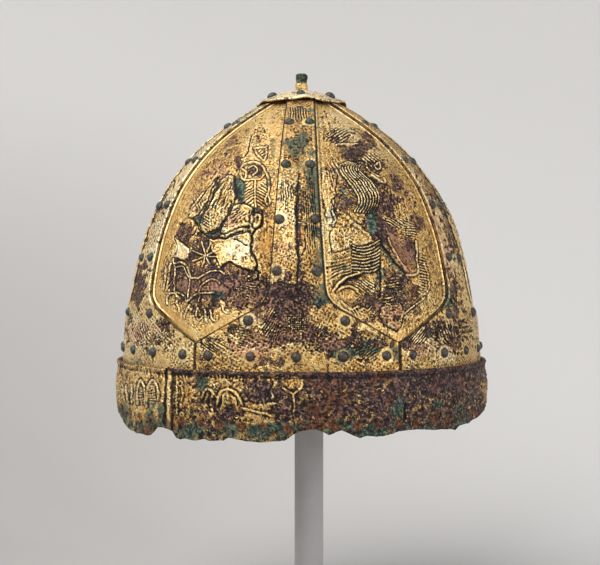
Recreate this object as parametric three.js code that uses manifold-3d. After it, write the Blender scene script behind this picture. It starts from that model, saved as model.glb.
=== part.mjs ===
// A six-strap spangenhelm of gilt copper alloy on a plain post stand.
// Millimetres, +Z up, the brow's front towards -Y, the origin under the middle of the stand's base.
import * as THREE from 'three';
import { mergeVertices } from 'three/addons/utils/BufferGeometryUtils.js';
import Module from 'manifold-3d';

// Driving dimensions
const SPANGE_COUNT = 6;
const SECTOR = (2 * Math.PI) / SPANGE_COUNT;
const HALF_SECTOR = SECTOR / 2;
const PLAN_DEPTH_RATIO = 1.03;
const GAP = 0.35;
const DEGREE = Math.PI / 180;

// The bowl's outline: the outer face of the infill plates, as radius over height
const BOWL_PROFILE = [
  { z: 146, r: 103.2 },
  { z: 160, r: 102.6 },
  { z: 178, r: 101.3 },
  { z: 195, r: 99.2 },
  { z: 213, r: 95.4 },
  { z: 230, r: 90.2 },
  { z: 254, r: 78.4 },
  { z: 278, r: 57.3 },
  { z: 301, r: 25.6 },
  { z: 306.8, r: 14 },
  { z: 309, r: 8 },
];

// Heights of the rows of corners on straps and plates; both use the same rows, so their faces lie parallel
const ROW_HEIGHTS = [305, 295, 283, 267, 249, 230, 211, 198, 190, 185, 180, 175, 169.4, 163.4, 147];
const PLATE_TIP = 163.4;

// Half the strap's width over height, down to the corner where its foot spreads out
const STRAP_HALF_WIDTH = [
  { z: 307, half: 7.6 },
  { z: 292.5, half: 8.3 },
  { z: 242, half: 11 },
  { z: 202.5, half: 13.5 },
  { z: 194, half: 14.6 },
  { z: 190, half: 17 },
  { z: 186, half: 22 },
];
const SEAM_TOP = 169.4;
const SEAM_HALF_GAP = 0.3;
const STRAP_THICKNESS = 1.4;
const MIDDLE_COLUMN = 0.58;
const EDGE_BEAD = { width: 2.2, height: 0.55, fadeBelow: 188, fadeAbove: 299 };

// Rivet heads on each strap: rows of pairs up the strap, then one row along its foot
const MIDDLE_STRAP_PAIRS = [
  { z: 286, half: 5.5 },
  { z: 260.3, half: 6.2 },
  { z: 231, half: 8.9 },
  { z: 205, half: 9.8 },
  { z: 180.5, half: 24 },
];
const SIDE_STRAP_PAIRS = [
  { z: 288, half: 5.5 },
  { z: 266.5, half: 4.9 },
  { z: 241.5, half: 5.7 },
  { z: 213, half: 6.6 },
  { z: 183, half: 16.5 },
];
const FOOT_RIVETS = { z: 162.8, step: 12.8 * DEGREE, eachSide: 2 };
const RIVET = { radius: 2.55, shoulder: 1.75, shoulderHeight: 1.25, height: 1.85, sunk: 0.8, sides: 6 };

const PLATE_THICKNESS = 1.2;
const PLATE_TUCK = 3.5;
const PLATE_COLUMNS = 6;
const PLATE_TIP_HALF = 1.6;

// Brow band: outer radius over height, and the ragged lower edge over the angle from the brow's front
const BAND_WALL = 1.5;
const BAND_COLUMNS = 54;
const BAND_PROFILE = [
  { z: 118, r: 106.5 },
  { z: 124, r: 107 },
  { z: 133, r: 107.9 },
  { z: 142, r: 108.3 },
  { z: 147, r: 107.9 },
  { z: 153.4, r: 107 },
  { z: 155.6, r: 107.3 },
];
const BAND_ROWS = [155.6, 153.4, 147, 137];
const RIM_EDGE = [
  { angle: -90, z: 126.5 },
  { angle: -72, z: 126 },
  { angle: -60, z: 119.4 },
  { angle: -47, z: 119.4 },
  { angle: -44, z: 125.4 },
  { angle: -38, z: 124.2 },
  { angle: -34, z: 119.6 },
  { angle: -8, z: 120.8 },
  { angle: -3, z: 122 },
  { angle: 1, z: 126.4 },
  { angle: 12, z: 126.6 },
  { angle: 18, z: 123 },
  { angle: 26, z: 123.8 },
  { angle: 32, z: 125.3 },
  { angle: 51, z: 122.3 },
  { angle: 55, z: 124.4 },
  { angle: 80, z: 127.5 },
  { angle: 105, z: 124 },
  { angle: 130, z: 122 },
  { angle: 155, z: 125 },
  { angle: 185, z: 121.5 },
  { angle: 215, z: 124.5 },
  { angle: 245, z: 122.5 },
  { angle: 270, z: 126.5 },
];

// Apex disc and finial: outline radius and height of the upper face
const DISC_THICKNESS = 1;
const DISC_SIDES = 20;
const DISC_PROFILE = [
  { r: 5.6, z: 312.6 },
  { r: 13.5, z: 310.9 },
  { r: 21.5, z: 307.3 },
  { r: 26.6, z: 304.6 },
];
const DISC_RIVET = { ring: 19.5, scale: 1.12 };
const FINIAL_SIDES = 10;
const FINIAL_PROFILE = [
  { r: 4.6, z: 312.9 },
  { r: 4.6, z: 313.6 },
  { r: 3.5, z: 313.9 },
  { r: 3.6, z: 317.2 },
  { r: 3, z: 317.7 },
  { r: 3.1, z: 319.4 },
  { r: 3.5, z: 321.2 },
  { r: 3.3, z: 322.8 },
  { r: 2.4, z: 323.3 },
];

const STAND = { baseRadius: 75, baseThickness: 10, edge: 1.5, capStart: 276, capRadius: 14, sides: 24 };
const STAND_POST = { radius: 8.5, shift: 4.4 };
const STAND_CAP_HEIGHTS = [297, 300, 303];
const STAND_CAP_TOP_RADIUS = 12;

const GOLD = { color: 0xb08a45, roughness: 0.45, metalness: 0.8 };
const PALE_GOLD = { color: 0xc09a52, roughness: 0.42, metalness: 0.8 };
const BROWN_GILT = { color: 0x6e4c38, roughness: 0.6, metalness: 0.55 };
const PINK_GOLD = { color: 0xb48a68, roughness: 0.45, metalness: 0.75 };
const DARK_BRONZE = { color: 0x5e5f3c, roughness: 0.55, metalness: 0.5 };
const GREY_PAINT = { color: 0x87878a, roughness: 0.6, metalness: 0 };

const wasm = await Module();
wasm.setup();

// Smooth curve through the rows of a table, read at any place along its key column
function curveThrough(rows, key, value) {
  const sorted = [...rows].sort((a, b) => a[key] - b[key]);
  const keys = sorted.map((row) => row[key]);
  const values = sorted.map((row) => row[value]);
  const interpolant = new THREE.CubicInterpolant(keys, values, 1);
  return (at) => interpolant.evaluate(at)[0];
}

// Straight lines through the rows of a table
function linesThrough(rows, key, value) {
  const sorted = [...rows].sort((a, b) => a[key] - b[key]);
  const keys = sorted.map((row) => row[key]);
  const values = sorted.map((row) => row[value]);
  const interpolant = new THREE.LinearInterpolant(keys, values, 1);
  return (at) => interpolant.evaluate(at)[0];
}

const bowlRadius = curveThrough(BOWL_PROFILE, 'z', 'r');
const strapHalf = curveThrough(STRAP_HALF_WIDTH, 'z', 'half');
const bandRadius = linesThrough(BAND_PROFILE, 'z', 'r');
const rimHeight = linesThrough(RIM_EDGE, 'angle', 'z');
const slopeStep = 0.5;

// A point on the bowl at an angle from the brow's front, moved out along the surface's normal
function bowlPoint(angle, z, offset) {
  const radius = bowlRadius(z);
  const slope = (bowlRadius(z + slopeStep) - bowlRadius(z - slopeStep)) / (2 * slopeStep);
  const length = Math.hypot(1, slope);
  const r = radius + offset / length;
  return new THREE.Vector3(r * Math.sin(angle), -r * Math.cos(angle), z - (offset * slope) / length);
}

// A point on the flat facets between two rows of corners
function facetPoint(angle, z, offset) {
  const lower = ROW_HEIGHTS.findIndex((height) => height <= z);
  const [top, bottom] = [ROW_HEIGHTS[lower - 1], ROW_HEIGHTS[lower]];
  const share = (z - bottom) / (top - bottom);
  return bowlPoint(angle, bottom, offset).lerp(bowlPoint(angle, top, offset), share);
}

function bowlNormal(angle, z) {
  return bowlPoint(angle, z, 1).sub(bowlPoint(angle, z, 0)).normalize();
}

// Half the strap's width as an arc length: the strap, the foot's slanting edge, then the upright seam
function strapEdge(z) {
  const corner = STRAP_HALF_WIDTH.at(-1);
  const seam = (at) => bowlRadius(at) * HALF_SECTOR - SEAM_HALF_GAP;
  if (z >= corner.z) return strapHalf(z);
  if (z <= SEAM_TOP) return seam(z);
  return THREE.MathUtils.mapLinear(z, corner.z, SEAM_TOP, corner.half, seam(SEAM_TOP));
}

// Width along the row of a margin that is measured square to the strap's edge
function alongRow(margin, z) {
  const slope = (strapEdge(z + slopeStep) - strapEdge(z - slopeStep)) / (2 * slopeStep);
  return margin * Math.hypot(1, slope);
}

// A sheet between two grids of points, closed by walls along its free edges
function sheetGeometry(outer, inner, closedRound = false) {
  const rows = outer.length;
  const columns = outer[0].length;
  const points = [...outer.flat(), ...inner.flat()];
  const outerAt = (row, column) => row * columns + (column % columns);
  const innerAt = (row, column) => rows * columns + outerAt(row, column);
  const faces = [];
  const quad = (a, b, c, d) => faces.push(a, b, c, a, c, d);
  const spans = closedRound ? columns : columns - 1;
  const last = rows - 1;
  for (let column = 0; column < spans; column += 1) {
    const next = column + 1;
    for (let row = 0; row < last; row += 1) {
      const below = row + 1;
      quad(outerAt(row, column), outerAt(below, column), outerAt(below, next), outerAt(row, next));
      quad(innerAt(row, column), innerAt(row, next), innerAt(below, next), innerAt(below, column));
    }
    quad(outerAt(0, column), outerAt(0, next), innerAt(0, next), innerAt(0, column));
    quad(outerAt(last, next), outerAt(last, column), innerAt(last, column), innerAt(last, next));
  }
  for (let row = 0; row < last && !closedRound; row += 1) {
    const end = columns - 1;
    quad(outerAt(row + 1, 0), outerAt(row, 0), innerAt(row, 0), innerAt(row + 1, 0));
    quad(outerAt(row, end), outerAt(row + 1, end), innerAt(row + 1, end), innerAt(row, end));
  }
  const geometry = new THREE.BufferGeometry();
  geometry.setAttribute('position', new THREE.Float32BufferAttribute(points.flatMap((p) => p.toArray()), 3));
  geometry.setIndex(faces);
  return geometry;
}

// A turned solid about +Z from an outline of radius and height that starts and ends on the axis
function turnedGeometry(outline, sides) {
  const geometry = new THREE.LatheGeometry(outline.map(({ r, z }) => new THREE.Vector2(r, z)), sides);
  geometry.rotateX(Math.PI / 2);
  return geometry;
}

function merged(geometry) {
  const bare = geometry.clone();
  bare.deleteAttribute('normal');
  bare.deleteAttribute('uv');
  return mergeVertices(bare, 1e-4);
}

function toSolid(geometry) {
  const bare = merged(geometry);
  const mesh = new wasm.Mesh({
    numProp: 3,
    vertProperties: bare.attributes.position.array,
    triVerts: new Uint32Array(bare.index.array),
  });
  return new wasm.Manifold(mesh);
}

function fromSolid(solid) {
  const mesh = solid.getMesh();
  const geometry = new THREE.BufferGeometry();
  geometry.setAttribute('position', new THREE.BufferAttribute(mesh.vertProperties, 3));
  geometry.setIndex(new THREE.BufferAttribute(mesh.triVerts, 1));
  return geometry;
}

function fused(body, heads) {
  return fromSolid(heads.reduce((solid, head) => solid.add(toSolid(head)), toSolid(body)));
}

// A domed rivet head standing on a point, along a normal
function rivetHead(point, normal, scale = 1) {
  const outline = [
    { r: 0, z: -RIVET.sunk },
    { r: RIVET.radius * scale, z: -RIVET.sunk },
    { r: RIVET.shoulder * scale, z: RIVET.shoulderHeight * scale },
    { r: 0, z: RIVET.height * scale },
  ];
  const head = turnedGeometry(outline, RIVET.sides);
  head.applyQuaternion(new THREE.Quaternion().setFromUnitVectors(new THREE.Vector3(0, 0, 1), normal));
  return head.translate(point.x, point.y, point.z);
}

// The strap with its foot; its edge stands up in a bead that dies away over the foot and under the disc
function spangeGeometry(rivetPairs) {
  const inset = [
    { margin: 0, rise: 0 },
    { margin: EDGE_BEAD.width / 2, rise: EDGE_BEAD.height },
    { margin: EDGE_BEAD.width, rise: 0 },
  ];
  const beadAt = (z) => (z > EDGE_BEAD.fadeBelow && z < EDGE_BEAD.fadeAbove ? 1 : 0);
  const rowPoints = (z, base, withBead) => {
    const radius = bowlRadius(z);
    const edge = strapEdge(z);
    const share = beadAt(z) * withBead;
    const side = inset.map(({ margin, rise }) => ({ at: edge - alongRow(margin, z), rise: rise * share }));
    const middle = { at: side.at(-1).at * MIDDLE_COLUMN, rise: 0 };
    const right = [middle, ...side.toReversed()];
    const left = right.map(({ at, rise }) => ({ at: -at, rise })).reverse();
    const columns = [...left, { at: 0, rise: 0 }, ...right];
    return columns.map(({ at, rise }) => bowlPoint(at / radius, z, base + rise));
  };
  const outer = ROW_HEIGHTS.map((z) => rowPoints(z, GAP + STRAP_THICKNESS, 1));
  const inner = ROW_HEIGHTS.map((z) => rowPoints(z, GAP, 0));
  const heads = [];
  const addHead = (angle, z) => {
    heads.push(rivetHead(facetPoint(angle, z, GAP + STRAP_THICKNESS), bowlNormal(angle, z)));
  };
  for (const { z, half } of rivetPairs) {
    addHead(-half / bowlRadius(z), z);
    addHead(half / bowlRadius(z), z);
  }
  for (let i = -FOOT_RIVETS.eachSide; i <= FOOT_RIVETS.eachSide; i += 1) {
    addHead(i * FOOT_RIVETS.step, FOOT_RIVETS.z);
  }
  return fused(sheetGeometry(outer, inner), heads);
}

// The leaf-shaped plate, tucked under the straps on both sides and ending in a point
function plateGeometry() {
  const heights = ROW_HEIGHTS.filter((z) => z >= PLATE_TIP);
  const rowPoints = (z, offset) => {
    const radius = bowlRadius(z);
    const reach = radius * HALF_SECTOR - strapEdge(z) + alongRow(PLATE_TUCK, z);
    const half = z === PLATE_TIP ? PLATE_TIP_HALF : reach;
    return Array.from({ length: PLATE_COLUMNS }, (_, i) => {
      const share = (2 * i) / (PLATE_COLUMNS - 1) - 1;
      return bowlPoint((share * half) / radius, z, offset);
    });
  };
  return sheetGeometry(
    heights.map((z) => rowPoints(z, 0)),
    heights.map((z) => rowPoints(z, -PLATE_THICKNESS)),
  );
}

// The brow band, a ring whose last row follows the ragged lower edge
function bandGeometry() {
  const angles = Array.from({ length: BAND_COLUMNS }, (_, i) => -90 + (360 * i) / BAND_COLUMNS);
  const ringRow = (heightAt, inward) => angles.map((angle) => {
    const z = heightAt(angle);
    const r = bandRadius(z) - inward;
    return new THREE.Vector3(r * Math.sin(angle * DEGREE), -r * Math.cos(angle * DEGREE), z);
  });
  const heights = [...BAND_ROWS.map((z) => () => z), rimHeight];
  const outer = heights.map((at) => ringRow(at, 0));
  const inner = heights.map((at) => ringRow(at, BAND_WALL));
  return sheetGeometry(outer, inner, true);
}

// The apex disc with a rivet head over each strap
function discGeometry() {
  const upper = DISC_PROFILE;
  const first = upper[0];
  const lower = upper.map(({ r, z }) => ({ r, z: z - DISC_THICKNESS }));
  const outline = [
    { r: 0, z: first.z - DISC_THICKNESS },
    ...lower,
    ...upper.toReversed(),
    { r: 0, z: first.z },
  ];
  const discHeight = linesThrough(upper, 'r', 'z');
  const { ring, scale } = DISC_RIVET;
  const slope = (discHeight(ring + slopeStep) - discHeight(ring - slopeStep)) / (2 * slopeStep);
  const heads = Array.from({ length: SPANGE_COUNT }, (_, i) => {
    const angle = i * SECTOR;
    const out = new THREE.Vector3(Math.sin(angle), -Math.cos(angle), 0);
    const normal = out.clone().multiplyScalar(-slope).setZ(1).normalize();
    const point = out.multiplyScalar(ring).setZ(discHeight(ring));
    return rivetHead(point, normal, scale);
  });
  return fused(turnedGeometry(outline, DISC_SIDES), heads);
}

function finialGeometry() {
  const outline = [{ r: 0, z: FINIAL_PROFILE[0].z }, ...FINIAL_PROFILE, { r: 0, z: FINIAL_PROFILE.at(-1).z }];
  return turnedGeometry(outline, FINIAL_SIDES);
}

function standBaseGeometry() {
  const { baseRadius, baseThickness, edge, sides } = STAND;
  const outline = [
    { r: 0, z: 0 },
    { r: baseRadius - edge, z: 0 },
    { r: baseRadius, z: edge },
    { r: baseRadius, z: baseThickness - edge },
    { r: baseRadius - edge, z: baseThickness },
    { r: 0, z: baseThickness },
  ];
  return turnedGeometry(outline, sides);
}

// The post stands a little to the right of the helmet's axis
function standPostGeometry() {
  const { baseThickness, capStart, sides } = STAND;
  const bottom = baseThickness + GAP;
  const top = capStart - GAP;
  const outline = [
    { r: 0, z: bottom },
    { r: STAND_POST.radius, z: bottom },
    { r: STAND_POST.radius, z: top },
    { r: 0, z: top },
  ];
  return turnedGeometry(outline, sides).translate(STAND_POST.shift, 0, 0);
}

// The cap fills the crown from below, a small gap under the plates
function standCapGeometry() {
  const { capStart, capRadius, sides } = STAND;
  const underPlates = STAND_CAP_HEIGHTS.map((z) => {
    const point = bowlPoint(0, z, -PLATE_THICKNESS - GAP);
    return { r: -point.y, z: point.z };
  });
  const top = underPlates.at(-1).z + GAP;
  const outline = [
    { r: 0, z: capStart },
    { r: capRadius, z: capStart },
    ...underPlates,
    { r: STAND_CAP_TOP_RADIUS, z: top },
    { r: 0, z: top },
  ];
  return turnedGeometry(outline, sides);
}

function namedMesh(name, geometry, finish) {
  const mesh = new THREE.Mesh(merged(geometry), new THREE.MeshStandardMaterial(finish));
  mesh.name = name;
  return mesh;
}

const helmet = new THREE.Group();
helmet.scale.y = PLAN_DEPTH_RATIO;
helmet.add(namedMesh('brow_band', bandGeometry(), BROWN_GILT));
const middleStrap = spangeGeometry(MIDDLE_STRAP_PAIRS);
const sideStrap = spangeGeometry(SIDE_STRAP_PAIRS);
const plate = plateGeometry();
for (let i = 0; i < SPANGE_COUNT; i += 1) {
  const inMiddle = i % (SPANGE_COUNT / 2) === 0;
  const strap = namedMesh(`spange_${i + 1}`, inMiddle ? middleStrap : sideStrap, GOLD);
  strap.rotation.z = i * SECTOR;
  const infill = namedMesh(`infill_plate_${i + 1}`, plate, PALE_GOLD);
  infill.rotation.z = i * SECTOR + HALF_SECTOR;
  helmet.add(strap, infill);
}
helmet.add(namedMesh('apex_disc', discGeometry(), PINK_GOLD));
helmet.add(namedMesh('finial', finialGeometry(), DARK_BRONZE));

const stand = new THREE.Group();
stand.add(namedMesh('stand_base', standBaseGeometry(), GREY_PAINT));
stand.add(namedMesh('stand_post', standPostGeometry(), GREY_PAINT));
stand.add(namedMesh('stand_cap', standCapGeometry(), GREY_PAINT));

const spangenhelm = new THREE.Group();
spangenhelm.add(helmet, stand);

export default spangenhelm;
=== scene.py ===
"""A six-strap spangenhelm of gilt copper alloy on a post stand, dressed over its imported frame."""
import math
from collections import namedtuple

import bpy
import numpy as np
from bpy.props import FloatProperty, FloatVectorProperty, PointerProperty
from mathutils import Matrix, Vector


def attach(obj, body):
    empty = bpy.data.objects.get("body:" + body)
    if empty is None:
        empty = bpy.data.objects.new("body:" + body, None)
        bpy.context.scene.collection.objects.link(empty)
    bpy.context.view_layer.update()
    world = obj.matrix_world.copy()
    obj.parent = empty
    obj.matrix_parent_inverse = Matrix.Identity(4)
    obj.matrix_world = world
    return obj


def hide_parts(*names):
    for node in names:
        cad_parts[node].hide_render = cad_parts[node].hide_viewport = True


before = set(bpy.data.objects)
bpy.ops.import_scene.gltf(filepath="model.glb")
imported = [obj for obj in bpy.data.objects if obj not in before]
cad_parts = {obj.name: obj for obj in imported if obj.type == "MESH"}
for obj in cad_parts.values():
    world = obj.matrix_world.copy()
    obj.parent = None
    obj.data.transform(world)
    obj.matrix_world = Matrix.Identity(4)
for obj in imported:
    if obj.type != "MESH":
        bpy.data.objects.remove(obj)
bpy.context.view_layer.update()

bl_info = {
    "name": "Spangenhelm",
    "version": (1, 0, 0),
    "blender": (4, 5, 0),
    "location": "3D View > Sidebar > Spangenhelm",
    "description": "Builds the visible pieces of a gilt spangenhelm over its frame",
    "category": "Object",
}

MM = 0.001
BODY = "root"
STRAPS = 6
SECTOR = math.tau / STRAPS
HALF_SECTOR = SECTOR / 2

# Shape of the helmet in millimetres and degrees, as in the frame

PLAN_DEPTH_RATIO = 1.03
SEAT_GAP = 0.35
STRAP_THICKNESS = 1.4
BOWL_PROFILE = [  # height, radius of the plates' outer face
    (146, 103.2), (160, 102.6), (178, 101.3), (195, 99.2), (213, 95.4), (230, 90.2),
    (254, 78.4), (278, 57.3), (301, 25.6), (306.8, 14), (309, 8),
]
STRAP_HALF_WIDTH = [  # height, half the strap's width
    (186, 22), (190, 17), (194, 14.6), (202.5, 13.5), (242, 11), (292.5, 8.3), (307, 7.6),
]
CROWN_TOP = 305
FOOT_BOTTOM = 147
SEAM_TOP = 169.4
SEAM_HALF_GAP = 0.3
PLATE_TIP = 163.4
PLATE_TIP_HALF = 1.6
PLATE_TUCK = 3.5
BORDER_WIDTH = 4.6
BORDER_CALM_LOW = 180
BORDER_CALM_HIGH = 200
RIB_FADE_LOW = 176
RIB_FADE_HIGH = 190
BEAD_FADE_LOW = 185
BEAD_FADE_HIGH = 190
BEAD_END_LOW = 297
BEAD_END_HIGH = 303
MIDDLE_STRAP_PAIRS = [  # height, half the spacing of a rivet pair on the front and back straps
    (286, 5.5), (260.3, 6.2), (231, 8.9), (205, 9.8), (180.5, 24),
]
SIDE_STRAP_PAIRS = [  # height, half the spacing of a rivet pair on the side straps
    (288, 5.5), (266.5, 4.9), (241.5, 5.7), (213, 6.6), (183, 16.5),
]
RIVET_DENT = 0.9
FOOT_RIVET_HEIGHT = 162.8
FOOT_RIVET_STEP = math.radians(12.8)
BAND_TOP = 155.6
BAND_MEAN_RADIUS = 107
BAND_WIDEST = 142
BAND_LOWEST = 119
BAND_LIP = 154.5
BAND_GROOVE = 152.6
BAND_SEED = 700
BAND_PROFILE = [  # height, outer radius
    (116, 106.3), (124, 107), (133, 107.9), (142, 108.3), (147, 107.9), (152, 107.15),
    (153.4, 107.1), (154.4, 107.7), (155.6, 107.4),
]
RIM_EDGE = [  # angle from the brow's front, height of the broken lower edge
    (-90, 126.5), (-78, 127), (-72, 126), (-65, 121.9), (-60, 119.4), (-48, 119.2), (-46, 121),
    (-44, 125.6), (-42.4, 124.2), (-39, 124.6), (-37, 123.6), (-35.6, 120.3), (-34, 119.6),
    (-28, 120.5), (-26, 121.3), (-23, 120.4), (-20, 121.4), (-18.6, 123), (-16.4, 121.6),
    (-9, 120.7), (-3.2, 121.9), (0, 125.9), (5.3, 127.4), (8.5, 124.8), (11.7, 127.2), (17, 122.9),
    (19.5, 123.7), (21.8, 122.5), (29, 125.2), (40, 124.2), (51, 122.2), (53.4, 124.6), (58, 124),
    (61.4, 125.6), (65, 124.8), (69.5, 126.6), (82, 128.5), (95, 125.4), (105, 124), (118, 121.4),
    (130, 122), (142, 125.4), (155, 125), (170, 120.8), (185, 121.5), (200, 123), (215, 124.5),
    (229, 121), (245, 122.5), (258, 125.2), (270, 126.5),
]
DISC_PROFILE = [  # radius, height of the upper face
    (0, 312.7), (5.6, 312.6), (13.5, 310.9), (21.5, 307.3), (25.6, 305.1), (26.6, 304.6),
]
DISC_THICKNESS = 1.0
DISC_ROLL = 26.0
DISC_GROOVE = 24.6
DISC_DIRT = 24.5
DISC_RIVET_RING = 19.5
DISC_RIVET_SCALE = 1.12
DISC_EYE = 1.2
DISC_AROUND = 220
DISC_ROWS = 46
DISC_UNDER_ROWS = 8
DISC_SEED = 900
FINIAL_GOLD_STOP = 317.4
FINIAL_GROOVE = 313.9
FINIAL_PROFILE = [  # height, radius
    (312.9, 4.6), (313.5, 4.7), (313.9, 3.6), (316.9, 3.65), (317.5, 3.3), (318.2, 3.0), (319.6, 3.1),
    (321.2, 3.5), (322.6, 3.35), (323.2, 2.5),
]
STAND_BASE_RADIUS = 75
STAND_BASE_THICKNESS = 10
STAND_POST_RADIUS = 8.5
STAND_POST_SHIFT = 4.4
STAND_CAP_RADIUS = 14
STAND_CAP_START = 276
STAND_CAP_TOP_RADIUS = 12
STAND_CAP_FLANK = (297, 300, 303)
STAND_INNER_RADIUS = 1

# The backdrop's cove: floor in front and behind, radius of its curve, and how far round it climbs in radians

COVE = {"front_floor": 1600, "back_floor": 140, "curve": 1700, "front_rise": 1.3, "back_rise": 1.55}

Light = namedtuple("Light", "place size tint")
LIGHTS = {  # places and sizes in metres
    "key": Light((-1.25, -1.1, 2.0), 2.8, (1.0, 0.985, 0.96)),
    "fill": Light((1.75, -1.3, 1.0), 1.1, (0.97, 0.985, 1.0)),
    "top": Light((-0.2, 0.3, 1.9), 1.2, (1, 1, 1)),
}
SKY_TINT = (0.98, 0.985, 1.0, 1)

# The photograph's camera: its frame in pixels, its distance and where it stands in millimetres

PHOTO_WIDTH = 600
PHOTO_HEIGHT = 565
OFF_PICTURE = -999
CAMERA_DISTANCE = 640
CAMERA_HEIGHT = 199.7
CAMERA_SIDE = -0.9
CAMERA_AZIMUTH = math.radians(1.4)
MM_PER_PIXEL = 0.593

# Marks on the metal, placed by photograph pixels: raised lines, bundles of lines, hatching, rough spots,
# cracks, lifted flakes and stains

Stroke = namedtuple("Stroke", "height width points")
Bundle = namedtuple("Bundle", "height width count first last")
Hatch = namedtuple("Hatch", "height pitch turn x y rx ry")
Rough = namedtuple("Rough", "height grain stretch turn x y rx ry")
Crack = namedtuple("Crack", "depth width points")
Flake = namedtuple("Flake", "height points")
Stain = namedtuple("Stain", "layer amount x y rx ry turn", defaults=[0])


def table(kind, rows):
    """Rows of one kind of mark, in the order of its named columns."""
    return [kind(*row) for row in rows]


def stains(**layers):
    """Stains by the layer that they change, each row from its amount to its turn."""
    return [Stain(layer, *row) for layer, rows in layers.items() for row in rows]


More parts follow.
